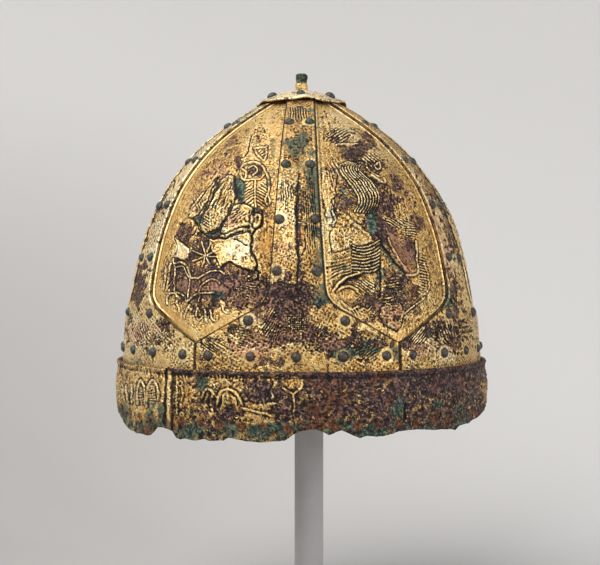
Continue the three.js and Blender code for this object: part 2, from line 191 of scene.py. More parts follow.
LEFT_PLATE = dict(
    strokes=table(Stroke, [
        # shield and arched medallion
        (0.45, 1.0, [(254, 149), (258, 155), (264, 160), (266.3, 153), (267, 146)]),
        (0.35, 0.9, [(254, 149), (261, 147.5), (267, 147)]),
        (0.55, 1.1, [(241, 168), (245, 164), (252, 162), (259, 163), (264, 168), (266.3, 173.5),
                     (268.8, 180), (269.4, 187), (268.6, 194)]),
        (0.45, 1.0, [(245, 180.5), (252, 180), (259, 179), (264.5, 175)]),
        (0.45, 1.0, [(241, 168.5), (245.2, 170.6), (246.6, 174), (245.2, 180)]),
        (0.4, 1.0, [(240.5, 173), (242.5, 178), (245, 181)]),
        (0.4, 0.9, [(249, 168), (253, 166), (257, 168), (256, 172), (252, 175)]),
        (0.4, 0.9, [(255, 181), (255.3, 195), (255.8, 208)]),
        (0.45, 1.0, [(267, 194), (270.4, 201), (268.4, 205), (265.5, 200), (267, 194)]),
        # wing feathers
        (0.5, 0.9, [(228, 178), (223, 186), (217, 197), (212, 205)]),
        (0.5, 0.9, [(231, 181), (226, 190), (221, 199), (218, 208)]),
        (0.5, 0.9, [(234, 184), (230, 193), (226, 203), (223, 212)]),
        (0.4, 0.9, [(219, 181), (213, 186), (207, 190)]),
        (0.45, 0.9, [(214, 190), (206, 202), (199, 212)]),
        (0.4, 0.9, [(209, 189), (201, 201), (194, 211)]),
        (0.4, 0.9, [(203, 193), (196, 202), (189, 213)]),
        (0.4, 0.9, [(212, 208), (211, 219), (211.5, 230)]),
        # eight-rayed star
        (0.45, 1.0, [(205.6, 256), (201.6, 242)]), (0.45, 1.0, [(205.6, 256), (210.5, 243)]),
        (0.45, 1.0, [(205.6, 256), (218.6, 249.5)]), (0.45, 1.0, [(205.6, 256), (217.7, 257)]),
        (0.45, 1.0, [(205.6, 256), (210, 264)]), (0.45, 1.0, [(205.6, 256), (202, 266.5)]),
        (0.45, 1.0, [(205.6, 256), (192.7, 261.5)]), (0.45, 1.0, [(205.6, 256), (193.6, 251)]),
        (0.4, 1.0, [(195.4, 241.2), (195.6, 242.2)]), (0.4, 1.0, [(198.5, 246), (198.7, 247)]),
        (0.4, 1.0, [(192.5, 270.5), (193, 271.5)]),
        # vessel and tendrils
        (0.5, 1.0, [(173, 259.5), (175.7, 270), (174.8, 280), (174.4, 291)]),
        (0.55, 1.2, [(174.8, 264), (180, 262.6), (185.5, 265.7), (189, 272), (191, 277.5)]),
        (0.45, 0.9, [(176.6, 267), (182, 266.6), (184.8, 269.3), (187.5, 274.6), (189.6, 278.2), (189, 286),
                     (188.2, 294), (187.3, 301.4)]),
        (0.5, 1.0, [(191, 278), (197, 278.7), (202.5, 275.5), (208, 272.9), (214, 270.6), (220.4, 271),
                    (224, 274.6)]),
        (0.45, 1.0, [(199, 292), (200.7, 287), (204.3, 282.7), (210.5, 279), (216, 280), (219.5, 283.6)]),
        (0.45, 1.0, [(188.2, 300.5), (193.6, 296), (200.7, 293.4), (208.8, 293), (214, 292.5)]),
        (0.4, 0.9, [(199, 291), (199.5, 297), (198.5, 301)]),
        (0.5, 1.1, [(167.7, 304), (168.1, 297), (171.3, 293.8), (175.7, 294.3), (177.5, 298.8),
                    (177, 302.3)]),
        (0.5, 1.1, [(174.8, 292.5), (180.2, 293.4), (184.6, 296.5), (186.4, 301.4)]),
        (0.4, 0.9, [(172, 303.5), (175.7, 302.5), (178.4, 307), (179.3, 312)]),
        (0.4, 0.9, [(168, 262), (166, 271), (165, 281), (164, 290)]),
        (0.35, 0.9, [(171, 264), (169, 275), (167.5, 287)]),
        (0.35, 0.9, [(173, 281), (169, 286), (166.5, 291)]),
        (0.4, 0.9, [(210.5, 310), (211.5, 319), (216, 320.5), (217, 315.5)]),
        (0.4, 0.9, [(198, 308), (196, 315), (199, 320), (203, 316)]),
        (0.4, 0.9, [(205, 309), (205.5, 318), (207, 322)]),
        (0.35, 0.9, [(222, 306), (224, 312), (229, 313)]),
        (0.35, 0.9, [(189, 305), (186, 311), (184, 318)]),
    ]),
    hatches=table(Hatch, [
        (0.4, 2.3, -30, 261.5, 152.5, 4.6, 4.8),
        (0.5, 2.75, -33, 249.5, 194, 5.4, 13.5),
        (0.5, 2.75, 33, 262, 194, 6.4, 14),
        (0.42, 2.7, 28, 206.5, 221.5, 4.8, 8.5),
        (0.35, 2.6, -40, 238, 216, 9, 8),
        (0.35, 2.8, 62, 199, 203, 8, 8),
        (0.3, 2.4, 8, 251, 286, 8, 9),
    ]),
    roughs=table(Rough, [
        (0.6, 3.0, 3.5, 120, 221, 200, 17, 24), (0.55, 3.4, 1.6, -30, 241, 219, 14, 13),
        (0.3, 3.2, 1.0, 0, 237, 256, 16, 14), (0.5, 3.0, 1.0, 0, 243, 291, 21, 22),
        (0.5, 3.2, 2.5, 120, 192, 222, 14, 18), (0.4, 3.0, 1.0, 0, 209, 312, 17, 11),
        (0.35, 3.4, 2.0, 130, 218, 165, 34, 13), (0.4, 3.0, 1.0, 0, 258, 136, 10, 12),
        (0.35, 2.8, 2.0, 100, 170, 272, 7, 22), (0.3, 3.0, 2.0, 90, 262, 250, 9, 36),
    ]),
    cracks=table(Crack, [
        (0.7, 1.1, [(251, 135.5), (248.7, 144), (249, 151), (245, 155.5), (240, 158.7)]),
        (0.9, 1.8, [(218.5, 178), (214, 190), (208.7, 201), (203, 209), (194.6, 219.7)]),
        (0.7, 1.5, [(195, 222), (199, 229), (203, 233), (207.5, 237)]),
        (0.9, 2.0, [(232, 203), (229.5, 210), (226, 218), (221.3, 226.8), (216.4, 230.3), (208.7, 231.5)]),
        (0.8, 1.5, [(224, 238.5), (229, 236), (235, 233.4), (243, 231)]),
        (0.6, 1.2, [(234, 240), (240, 241.5), (247, 246)]),
        (0.8, 1.5, [(254.3, 209), (251.5, 218), (251.5, 223.5), (255.7, 230.3)]),
        (0.9, 1.7, [(261.3, 212), (262.7, 218), (262, 226), (255.7, 230.3), (252.5, 235.4), (250.3, 246),
                    (250.8, 251.5), (256, 259.5), (256, 267.5), (258.8, 273), (257, 280)]),
        (0.5, 0.9, [(208.8, 239), (207.3, 247), (205.8, 256), (206.5, 264)]),
        (0.5, 0.9, [(250, 282), (256, 280), (262, 281)]),
    ]),
    flakes=table(Flake, [
        # wing, shoulder and the bright sheets below them
        (0.85, [(222, 181), (228, 175.7), (234, 177.4), (235, 188), (234.6, 202), (230.4, 211.6),
                (225.7, 221), (221, 228), (213.8, 232.8), (205.6, 232.4), (201, 225.7), (203, 217.5),
                (209, 209), (213.8, 201), (217.4, 192.7)]),
        (0.7, [(217.4, 179.7), (213.8, 183.3), (208, 192.7), (199.7, 202), (191.4, 211.6), (190, 216.3),
               (196, 220), (203, 211.6), (210.3, 202), (216, 190.4)]),
        (0.7, [(235, 205.7), (244.5, 205.7), (252.8, 209), (254, 217.5), (251.6, 225.8), (242, 225.8),
               (228, 231.7), (221, 232.8), (223.3, 225.8), (230.4, 216.3)]),
        (0.6, [(208, 240), (228, 238.7), (249, 232.8), (251.6, 244.6), (250.4, 256.4), (256.3, 262.3),
               (254, 270.6), (239.8, 266), (228, 261), (221, 266), (216, 256.4), (211.5, 247)]),
        (0.6, [(251.6, 211.6), (261, 216.3), (261, 225.8), (254, 232.8), (249, 230.5), (251.6, 223.4)]),
        (0.55, [(175, 238.7), (182, 243.5), (189, 249.4), (188, 258.8), (180.8, 260), (175.6, 256.4),
                (178.4, 249.4)]),
    ]),
    stains=stains(
        height=[(-0.35, 239, 194, 6, 9)],
        # the second bright row darkens the plate's right edge where the key light falls, painted shade over a
        # deeper tone there; the fourth row is a painted highlight patch
        bright=[
            (-0.3, 216, 160, 38, 18, -47), (-0.9, 266, 238, 10, 48), (0.1, 262, 128, 10, 18),
            (1.2, 237, 252, 16, 13), (1.2, 183, 252, 8, 7, 20), (0.35, 244, 220, 14, 16),
            (0.6, 208, 292, 36, 28), (0.3, 226, 222, 8, 8),
        ],
        smooth=[
            (0.5, 264, 245, 8, 36), (0.6, 271, 122, 9, 18), (0.8, 237, 250, 15, 12), (0.8, 183, 252, 8, 7),
            (0.5, 243, 290, 22, 22, -20),
        ],
        gilt=[
            (-0.25, 214, 162, 36, 16, -47), (0.3, 237, 252, 16, 13), (0.9, 183, 252, 9, 8, 20),
            (-0.85, 205, 247, 22, 13, -20), (-0.8, 198, 282, 28, 25), (-0.9, 178, 278, 9, 22),
            (-0.95, 243, 290, 23, 24, -20), (-0.8, 225, 278, 15, 15), (-0.9, 184, 234, 11, 9, -40),
            (-0.8, 236, 164, 6, 8), (-0.5, 228, 195, 7, 18, 28), (-0.35, 206, 202, 14, 16, 30),
            (-0.8, 255, 171.5, 8, 6.5), (-0.6, 265, 287, 8, 10), (-0.5, 206, 309, 14, 10, -30),
            (-0.35, 258, 138, 8, 9), (-0.4, 258, 215, 8, 10), (-0.8, 240, 192, 7, 12),
            (-0.7, 215, 232.5, 8, 3.6),
        ],
        pink=[
            (0.3, 214, 160, 34, 14, -47), (0.45, 244, 216, 18, 14), (0.5, 200, 282, 27, 22),
            (0.5, 243, 290, 23, 22), (0.55, 222, 168, 16, 9, -45), (0.45, 230, 222, 8, 8),
            (0.5, 200, 190, 8, 14, 40),
        ],
        green=[
            (1.7, 240, 192, 6, 11), (0.8, 237, 176, 3, 6), (1.5, 199.5, 219, 4.5, 7, 35),
            (1.5, 215, 232.5, 8, 3.6), (0.9, 255.5, 210, 3.5, 3), (0.75, 273, 150, 4, 14, 5),
            (0.6, 272, 176, 4, 18, 5), (1.6, 216, 295.3, 7, 3.6, -18), (0.6, 160, 270, 2, 6, 5),
            (0.6, 217, 183, 4, 5), (0.4, 222, 272, 4, 4),
        ],
        rust=[(0.4, 265, 160, 6, 12), (0.4, 266, 240, 8, 38), (0.4, 262, 138, 8, 10)],
        dark=[(0.8, 216, 296, 4, 2, -18), (0.5, 205, 309, 12, 3.2, -38), (0.5, 239, 193, 3, 6)],
    ),
)

RIGHT_PLATE = dict(
    strokes=table(Stroke, [
        (0.4, 1.0, [(336, 144.6), (346, 144.2), (358, 144.4)]),
        (0.5, 1.1, [(371, 174.5), (377, 179.5), (383, 183.5), (386, 182.5), (384, 178)]),
        (0.45, 1.0, [(366, 162), (367, 168), (372, 173), (379, 177)]),
        (0.45, 1.0, [(374, 166), (377, 169), (380, 167), (378, 163), (374, 166)]),
        (0.4, 0.9, [(332, 164), (335, 169), (338, 175)]), (0.4, 0.9, [(334, 161), (337, 166), (340, 172)]),
        (0.55, 1.4, [(348, 217), (352.3, 223), (361.4, 228.5), (368, 234.5)]),
        (0.5, 1.2, [(333, 291), (340, 282), (350, 276), (362, 272.5)]),
        (0.45, 1.2, [(337, 291), (345, 286.5), (353, 288), (360, 295)]),
        (0.45, 1.1, [(341, 301), (345, 305), (352, 309), (359, 307)]),
        (0.4, 1.1, [(333, 200), (331.5, 210), (335.5, 219), (333, 226)]),
        (0.4, 1.0, [(416, 241), (417, 258), (418.5, 272), (409, 275), (400, 272)]),
        (0.45, 1.0, [(388, 238), (394, 250), (400, 263), (408, 272)]),
        (0.4, 0.9, [(424, 262), (428, 276), (429, 288), (423, 295), (418, 292)]),
        (0.4, 0.9, [(384, 301), (390, 305), (397, 306)]),
        (0.4, 0.9, [(404, 315), (411, 308), (418, 303), (426, 297)]),
        (0.4, 0.9, [(359, 312), (363, 308), (368, 310), (372, 306)]),
    ]),
    bundles=table(Bundle, [
        (0.6, 0.8, 8,
         [(347, 162), (340, 165.5), (341, 172), (348, 181), (354.5, 190), (358.5, 198), (358, 206),
          (355, 212)],
         [(360, 165), (358, 169), (362, 175), (370, 182), (376, 190), (379, 198), (377.5, 205), (373, 212)]),
        (0.6, 0.8, 9,
         [(353, 245.5), (359, 247.5), (366, 247), (375, 243.5), (380, 240)],
         [(351, 271), (359, 272), (366, 272), (374, 270.5), (379, 268)]),
        (0.16, 0.8, 6,
         [(325, 262), (333, 261), (342, 259.5), (351, 257)],
         [(326, 284), (333, 279), (342, 275), (351, 272)]),
    ]),
    hatches=table(Hatch, [
        (0.42, 2.4, 28, 396, 222.5, 13, 6), (0.38, 2.5, 6, 411, 230, 7, 9),
        (0.42, 2.7, 12, 423.5, 273, 5, 21), (0.38, 2.5, 34, 365, 286, 12, 7),
        (0.42, 2.8, -14, 387.5, 301, 6.5, 7), (0.36, 2.6, 60, 354, 312, 10, 5),
        (0.35, 2.6, -32, 337, 135, 12, 8), (0.3, 2.6, 40, 372, 160, 9, 8), (0.32, 2.7, -8, 392, 284, 9, 9),
        (0.3, 2.4, 80, 331, 176, 6, 8),
    ]),
    roughs=table(Rough, [
        (0.6, 3.2, 1.3, 30, 338, 136, 16, 10), (0.6, 3.4, 1.0, 0, 376, 165, 12, 11),
        (0.55, 3.4, 1.0, 0, 343, 196, 10, 15), (0.5, 3.0, 1.0, 0, 328, 186, 7, 18),
        (0.45, 3.2, 1.5, 60, 388, 205, 15, 19), (0.55, 3.4, 1.3, 30, 362, 218, 11, 9),
        (0.55, 3.4, 2.0, 60, 402, 255, 11, 22), (0.5, 3.0, 1.0, 0, 388, 288, 18, 16),
        (0.5, 3.2, 1.0, 0, 394, 317, 14, 14), (0.4, 3.0, 1.0, 0, 356, 310, 15, 8),
        (0.4, 3.0, 1.0, 0, 348, 236, 22, 14), (0.4, 3.2, 2.0, 70, 405, 215, 12, 30),
        (0.3, 3.0, 1.0, 0, 327, 118, 12, 10),
    ]),
    cracks=table(Crack, [
        (0.7, 2.0, [(365, 175.5), (371, 179.5), (379, 185)]),
        (0.55, 1.7, [(377, 235), (385.5, 250), (394, 261.5), (406, 275)]),
        (0.7, 1.6, [(340, 286), (348, 280), (361, 275)]),
        (0.5, 1.2, [(380, 262), (380.5, 280), (380, 298)]),
        (0.4, 1.0, [(332, 200), (330.5, 210), (335, 220)]),
        (0.5, 1.1, [(345, 156), (350, 162), (360, 161), (366, 163)]),
    ]),
    flakes=table(Flake, [
        (0.4, [(322.4, 169), (335.4, 174), (335.4, 192.7), (330.7, 202), (335.4, 216.3), (334, 225.8),
               (328.3, 223.4), (326, 209), (322.4, 197.5)]),
        (0.3, [(336, 208), (350.7, 217.5), (360, 227), (369.6, 234), (372, 240), (364, 246), (352, 245),
               (344, 249), (334, 252), (330, 240), (333, 226)]),
        (0.45, [(381, 309), (388, 303), (398, 303), (404, 311), (401, 322), (396, 330), (387, 326),
                (381, 318)]),
    ]),
    stains=stains(
        smooth=[(0.7, 327, 222, 6, 42), (0.6, 324, 113, 11, 11)],
        gilt=[
            (0.35, 327, 222, 6, 42), (-1.0, 352, 153.5, 13, 9), (-0.6, 337, 136, 15, 9, 20),
            (-0.8, 374, 166, 10, 11), (-1.0, 386, 203, 14, 17, -20), (-0.7, 392, 245, 11, 27, -34),
            (-0.85, 410, 250, 9, 16, -10), (-0.85, 372, 221, 10, 15), (-0.9, 355, 277, 16, 6, -20),
            (-0.9, 393, 287, 17, 17), (-0.8, 368, 302, 15, 11, 10), (-0.7, 378, 318, 17, 10),
            (-0.7, 343, 200, 10, 15), (-0.6, 410, 300, 12, 15, 30), (-0.6, 368, 142, 10, 9),
            (-0.5, 398, 186, 8, 12, -20), (-0.5, 414, 222, 9, 12), (-0.3, 358, 186, 18, 24, -35),
            (-0.3, 366, 258, 15, 14), (-0.4, 338, 268, 12, 10),
        ],
        bright=[
            (0.9, 329, 236, 9, 32), (0.35, 340, 112, 20, 12, 20), (0.3, 366, 259, 15, 14),
            (0.45, 331, 220, 6, 7), (0.2, 352, 235, 13, 9, 30), (0.45, 357, 187, 18, 24, -35),
            (1.1, 350, 130, 28, 18, 20), (0.7, 380, 148, 20, 16, 40), (-0.3, 350, 293, 11, 8, 10),
            (0.3, 325, 186, 5, 18), (0.3, 391, 316, 14, 13),
        ],
        green=[
            (1.0, 372.5, 221, 4.5, 15, 5), (0.85, 384, 249, 5, 18, -34), (0.8, 397, 266, 4, 14, -44),
            (0.9, 380, 281, 4, 18), (0.7, 338, 267, 13, 8, 12), (0.7, 345, 194, 7, 5, 30),
            (0.9, 371, 180, 6, 2.6, 35), (0.6, 332, 217, 5, 5), (0.65, 365, 208, 11, 5, 20),
            (0.6, 334, 122.5, 3, 3), (0.6, 325, 288, 3, 12, -25), (0.4, 357, 133, 4, 3),
            (0.5, 396, 290, 8, 10), (0.6, 354, 299, 5, 3),
        ],
        pink=[
            (1.1, 401, 254, 9, 23, -30), (1.1, 391, 316, 14, 13), (0.6, 406, 200, 8, 22, -18),
            (0.45, 332, 248, 8, 14), (0.5, 336, 180, 8, 12), (0.4, 390, 170, 8, 16, -30),
        ],
        rust=[
            (0.8, 344, 211, 6, 5), (0.6, 336, 180, 7, 8), (0.6, 352, 303, 10, 5, 10),
            (0.5, 409, 290, 6, 6), (0.5, 404, 258, 8, 16, -32), (0.4, 394, 318, 10, 10),
        ],
        dark=[(0.7, 396, 317, 3.4, 2.2, 25), (0.5, 352, 154, 10, 7), (0.4, 385, 246, 4, 16, -34)],
    ),
)

FRONT_STRAP = dict(
    hatches=table(Hatch, [
        (0.45, 2.4, -60, 271, 327, 9, 17), (0.45, 2.4, -55, 318, 333, 7.5, 11),
        (0.4, 2.5, 14, 242, 337, 6, 14),
        (0.32, 2.3, 0, 296, 322, 13, 10), (0.3, 2.3, 90, 296, 322, 13, 10), (0.3, 2.6, 90, 297, 113, 12, 6),
        (0.32, 2.5, -35, 366, 352, 14, 8), (0.32, 2.5, 35, 215, 345, 10, 9),
        (0.32, 2.3, 90, 287, 195, 7, 16),
        (0.3, 2.3, 88, 310, 215, 7, 40),
    ]),
    roughs=table(Rough, [
        (0.55, 3.2, 1.0, 0, 287, 305, 28, 26), (0.45, 3.0, 1.0, 0, 285, 337, 60, 13),
        (0.35, 2.6, 3.0, 90, 310, 215, 9, 50), (0.4, 3.0, 1.0, 0, 340, 345, 36, 14),
        (0.3, 3.0, 1.0, 0, 298, 140, 14, 25), (0.35, 3.0, 1.0, 0, 225, 345, 30, 18),
    ]),
    cracks=table(Crack, [
        (0.45, 1.3, [(298, 174), (297.5, 195), (297, 220), (297.5, 243), (299, 262), (297, 284)]),
        (0.4, 1.1, [(306, 240), (305, 248), (302, 254)]),
        (0.35, 0.8, [(296, 285), (298, 298), (303, 312), (302, 330)]),
    ]),
    stains=stains(
        bright=[
            (0.95, 286, 214, 10, 48), (0.5, 282, 275, 9, 9), (0.3, 234, 348, 14, 16),
            (0.4, 199, 352, 14, 14), (0.5, 350, 345, 44, 18, -15), (-0.5, 310, 215, 9, 55),
            (-0.5, 298, 145, 15, 34), (0.75, 280, 335, 60, 22), (0.4, 246, 350, 16, 10, 10),
        ],
        gilt=[
            (-1.3, 287, 305, 28, 26), (-0.9, 299, 228, 3.5, 46), (-0.8, 286, 334, 30, 12),
            (-0.75, 322, 340, 24, 11), (-0.2, 309, 215, 9, 48), (-0.9, 232, 330, 6, 7),
            (-0.7, 348, 346, 24, 11, -20), (-0.5, 268, 362, 22, 6), (-0.25, 298, 140, 14, 30),
            (-0.4, 248, 335, 12, 14), (-0.5, 385, 340, 20, 10, -25), (-0.5, 212, 340, 9, 8),
            (-0.35, 372, 352, 30, 11),
        ],
        smooth=[(0.8, 287, 304, 27, 24), (0.5, 246, 350, 16, 10, 10)],
        pink=[
            (0.5, 285, 325, 50, 30), (1.1, 246, 350, 18, 11, 10), (0.6, 289, 246, 7, 6, -40),
            (0.6, 287, 180, 8, 8), (0.6, 330, 345, 14, 9), (0.6, 264, 342, 9, 12), (0.5, 283, 262, 9, 20),
        ],
        green=[
            (0.4, 309, 205, 9, 45), (0.85, 317, 200, 5, 46, 4), (0.75, 319, 262, 5, 28, 10),
            (0.6, 298, 143, 13, 14), (0.35, 302, 160, 16, 40), (0.6, 312, 180, 8, 10),
            (0.75, 322, 296, 9, 14, 25), (0.9, 366, 350, 18, 9, -20), (0.85, 345, 355, 16, 9),
            (0.6, 232, 365, 8, 5), (0.55, 300, 109, 18, 4), (0.5, 278, 128, 5, 20), (0.8, 395, 352, 12, 8),
        ],
        rust=[(0.45, 298, 120, 10, 10), (0.4, 280, 296, 8, 8), (0.35, 306, 150, 10, 14)],
    ),
)
LEFT_STRAP = dict(
    hatches=table(Hatch, [(0.35, 2.4, 70, 143, 331, 7, 9), (0.3, 2.4, -40, 162, 336, 9, 7)]),
    roughs=table(Rough, [(0.3, 2.8, 2.0, 110, 165, 240, 30, 90), (0.4, 3.0, 1.0, 0, 150, 335, 36, 22)]),
    stains=stains(
        bright=[(1.0, 178, 200, 15, 70, 27), (0.5, 150, 280, 10, 40, 8), (0.8, 140, 335, 32, 22)],
        gilt=[
            (-1.2, 156, 205, 6, 48, 30), (-1.2, 138, 286, 8, 26, 8), (-0.8, 142, 240, 5, 24, 20),
            (-0.8, 164, 326, 10, 6, 35), (-0.5, 150, 340, 14, 8), (-0.4, 126, 330, 6, 16),
        ],
        green=[(0.6, 136, 362, 14, 5, 5), (0.45, 250, 116, 20, 8, -30)],
        pink=[(0.6, 150, 330, 18, 14), (0.5, 130, 340, 10, 14)],
        rust=[(0.4, 152, 346, 14, 8)],
    ),
)
RIGHT_STRAP = dict(
    hatches=table(Hatch, [(0.35, 2.4, -50, 418, 336, 9, 8), (0.3, 2.4, 70, 446, 330, 8, 10)]),
    roughs=table(Rough, [(0.4, 2.8, 2.5, 65, 440, 240, 34, 90), (0.45, 3.0, 1.4, 80, 445, 335, 36, 26)]),
    stains=stains(
        # the first bright row is a painted highlight from a rim light along the strap's right edge; the
        # second bright row and the last pink row are a painted highlight line along the right bead
        bright=[(0.5, 470, 300, 4, 40, -8), (1.1, 436, 230, 12, 60, -20), (1.2, 428, 345, 30, 20)],
        pink=[(0.4, 440, 345, 26, 16), (0.7, 418, 352, 12, 8), (0.8, 438, 240, 9, 55, -16)],
        gilt=[
            (-0.7, 449, 220, 7, 60, -20), (-0.95, 450, 292, 8, 24, -6), (-0.7, 430, 330, 14, 9, -30),
            (-0.6, 452, 335, 14, 16), (-0.5, 412, 345, 10, 10),
        ],
        rust=[(0.6, 424, 175, 6, 40, -35), (0.5, 430, 200, 8, 50, -22), (0.5, 446, 345, 16, 12)],
        green=[(0.7, 446, 205, 6, 46, -24), (0.7, 447, 300, 5, 13, -10), (0.5, 424, 336, 8, 8)],
        dark=[(0.45, 455, 225, 4, 40, -20)],
    ),
)

BROW_BAND = dict(
    strokes=table(Stroke, [
        (0.6, 1.1, [(137.6, 404), (137.8, 388), (141, 380), (144.6, 388), (145, 404)]),
        (0.6, 1.1, [(146.6, 407), (147.2, 388), (152, 380.5), (157, 387), (159, 400)]),
        (0.6, 1.2, [(202.5, 398), (204, 392), (208, 389.5), (213, 392), (217, 398)]),
        (0.7, 1.4, [(217.2, 404), (218.4, 396), (222.5, 391), (229, 389.5), (235, 392.5), (239, 398),
                    (242, 405)]),
        (0.5, 1.1, [(283, 388), (289, 392), (293.5, 396), (293.8, 412)]),
        (0.5, 1.1, [(302, 380), (301, 387), (294, 394)]), (0.5, 1.0, [(181, 386), (183, 396), (180, 407)]),
        (0.7, 2.0, [(170.5, 372), (169.5, 398), (169, 428)]),
        (0.5, 1.0, [(177, 376), (177, 395), (176.5, 413)]), (0.5, 0.9, [(228, 391), (228, 399)]),
        (0.5, 1.1, [(241, 408), (252, 411), (262, 413), (272, 416)]),
        (0.5, 1.1, [(268, 403.5), (276, 403.5)]), (0.5, 1.2, [(272, 393), (273.5, 398)]),
        (0.45, 1.0, [(126, 385), (127, 400)]), (0.45, 1.0, [(131, 384), (132, 402)]),
        (0.5, 0.8, [(177.5, 383.7), (180, 381.3), (182.6, 383.7), (180, 386.2), (177.5, 383.7)]),
        (0.5, 0.9, [(213.6, 385.4), (216.8, 382.4), (220, 385.4), (216.8, 388.5), (213.6, 385.4)]),
        (0.45, 0.8, [(180, 413.8), (182, 412), (184, 413.8), (182, 415.6), (180, 413.8)]),
    ]),
    hatches=table(Hatch, [
        (0.4, 3.6, 90, 183, 376.8, 8, 2.0), (0.4, 3.6, 90, 228, 377.2, 20, 2.0),
        (0.4, 3.4, 0, 177, 396, 1.8, 19),
        (0.3, 2.6, 0, 152, 397, 5, 11), (0.3, 2.6, 0, 141, 396, 3.5, 10),
    ]),
    roughs=table(Rough, [
        (0.5, 3.0, 1.6, 90, 143, 394, 22, 28), (0.45, 3.0, 1.0, 0, 225, 398, 55, 30),
        (0.35, 3.0, 2.2, 0, 340, 396, 60, 30), (0.35, 3.0, 1.6, 80, 450, 396, 50, 30),
    ]),
    cracks=table(Crack, [
        (0.9, 1.8, [(166, 370), (165.5, 395), (164.5, 424)]),
        (0.5, 1.2, [(436, 370), (432, 376), (430, 384)]),
        (0.6, 1.3, [(406, 404), (404, 412), (405, 420)]), (0.5, 1.1, [(273, 382), (268, 394), (271, 404)]),
        (0.6, 1.2, [(210, 394), (208, 404), (210, 412)]), (0.5, 1.0, [(222, 397), (220.5, 404)]),
        (0.5, 1.0, [(236, 397), (238.5, 405)]), (0.5, 1.0, [(293.5, 398), (292, 414), (294, 424)]),
    ]),
    stains=stains(
        gilt=[
            (0.6, 143, 394, 20, 24), (0.65, 222, 384, 24, 8), (0.6, 229, 397, 10, 7),
            (0.5, 183, 390, 9, 14), (0.5, 252, 410, 16, 6, 15), (0.5, 297, 383, 8, 9, 30),
            (0.45, 420, 408, 8, 5), (0.6, 431, 401, 3, 2.5), (0.45, 481, 388, 5, 18),
            (0.35, 262, 421, 16, 4, 10), (-0.5, 225, 413, 14, 10), (-0.7, 262, 390, 18, 12),
            (-0.5, 284, 401, 16, 20),
        ],
        smooth=[
            (0.6, 262, 390, 18, 12), (0.6, 345, 393, 62, 20, 4), (0.5, 430, 385, 46, 18),
            (1.0, 444, 382, 15, 13),
        ],
        bright=[(0.35, 222, 386, 22, 10), (0.5, 143, 394, 20, 22)],
        green=[
            (1.0, 200, 382, 6, 8), (0.8, 191, 430, 14, 7), (0.8, 152, 412, 6, 12),
            (0.8, 268, 430, 24, 7, -5), (0.75, 230, 430, 12, 7), (1.0, 203, 399, 3, 6),
            (0.9, 193, 411, 5, 3), (1.0, 439, 405, 7, 4, 10), (0.75, 399, 411, 8, 14),
            (0.75, 374, 430, 14, 6), (0.6, 345, 424, 9, 5), (0.7, 458, 414, 8, 9), (0.8, 162, 418, 4, 12),
            (0.5, 125, 410, 6, 14), (0.5, 360, 398, 10, 10),
        ],
        rust=[
            (0.7, 318, 423, 24, 7), (0.4, 345, 392, 34, 14, 8), (0.3, 380, 376, 24, 8),
            (0.6, 150, 427, 12, 8), (0.7, 440, 419, 12, 8), (0.5, 174, 425, 7, 9),
        ],
        dark=[(0.45, 308, 404, 8, 7), (0.4, 206, 401, 6, 7), (0.4, 228, 405, 8, 6), (0.4, 481, 405, 6, 12)],
    ),
)
BAND_RUST_PITS = {"z": 128.5, "step": math.radians(6.15), "first": math.radians(-33.2), "radius": 2.1}
BAND_ARCADE = {"z": 138.5, "step": math.radians(7.2), "radius": 4.9, "leg": 8.0, "width": 0.6}


def length(name, description, millimetres):
    """A length property from millimetres."""
    return FloatProperty(name=name, description=description, default=millimetres * MM, unit="LENGTH")


def amount(name, description, default):
    return FloatProperty(name=name, description=description, default=default)


def colour(name, description, *rgb):
    """A colour property from linear values."""
    return FloatVectorProperty(name=name, description=description, subtype="COLOR", size=3, min=0, max=1,
                               default=rgb)


class HelmSizes(bpy.types.PropertyGroup):
    """Sizes of the sheets, beads and rivets"""
    plate_thickness: length("Plate thickness", "Wall of the infill plates", 1.2)
    strap_thickness: length("Strap thickness", "Wall of the straps and their feet", STRAP_THICKNESS)
    band_wall: length("Band wall", "Wall of the brow band", 1.5)
    bead_width: length("Bead width", "Width of the raised bead along a strap's edge", 2.2)
    bead_height: length("Bead height", "Height of the raised bead along a strap's edge", 0.75)
    rivet_radius: length("Rivet radius", "Radius of a rivet's head", 2.6)
    rivet_height: length("Rivet height", "Height of a rivet's head", 2.0)
    plate_step: length("Plate mesh step", "Spacing of the corners on the plates", 0.35)
    strap_step: length("Strap mesh step", "Spacing of the corners on the straps", 0.48)
    band_step: length("Band mesh step", "Spacing of the corners on the brow band", 0.56)


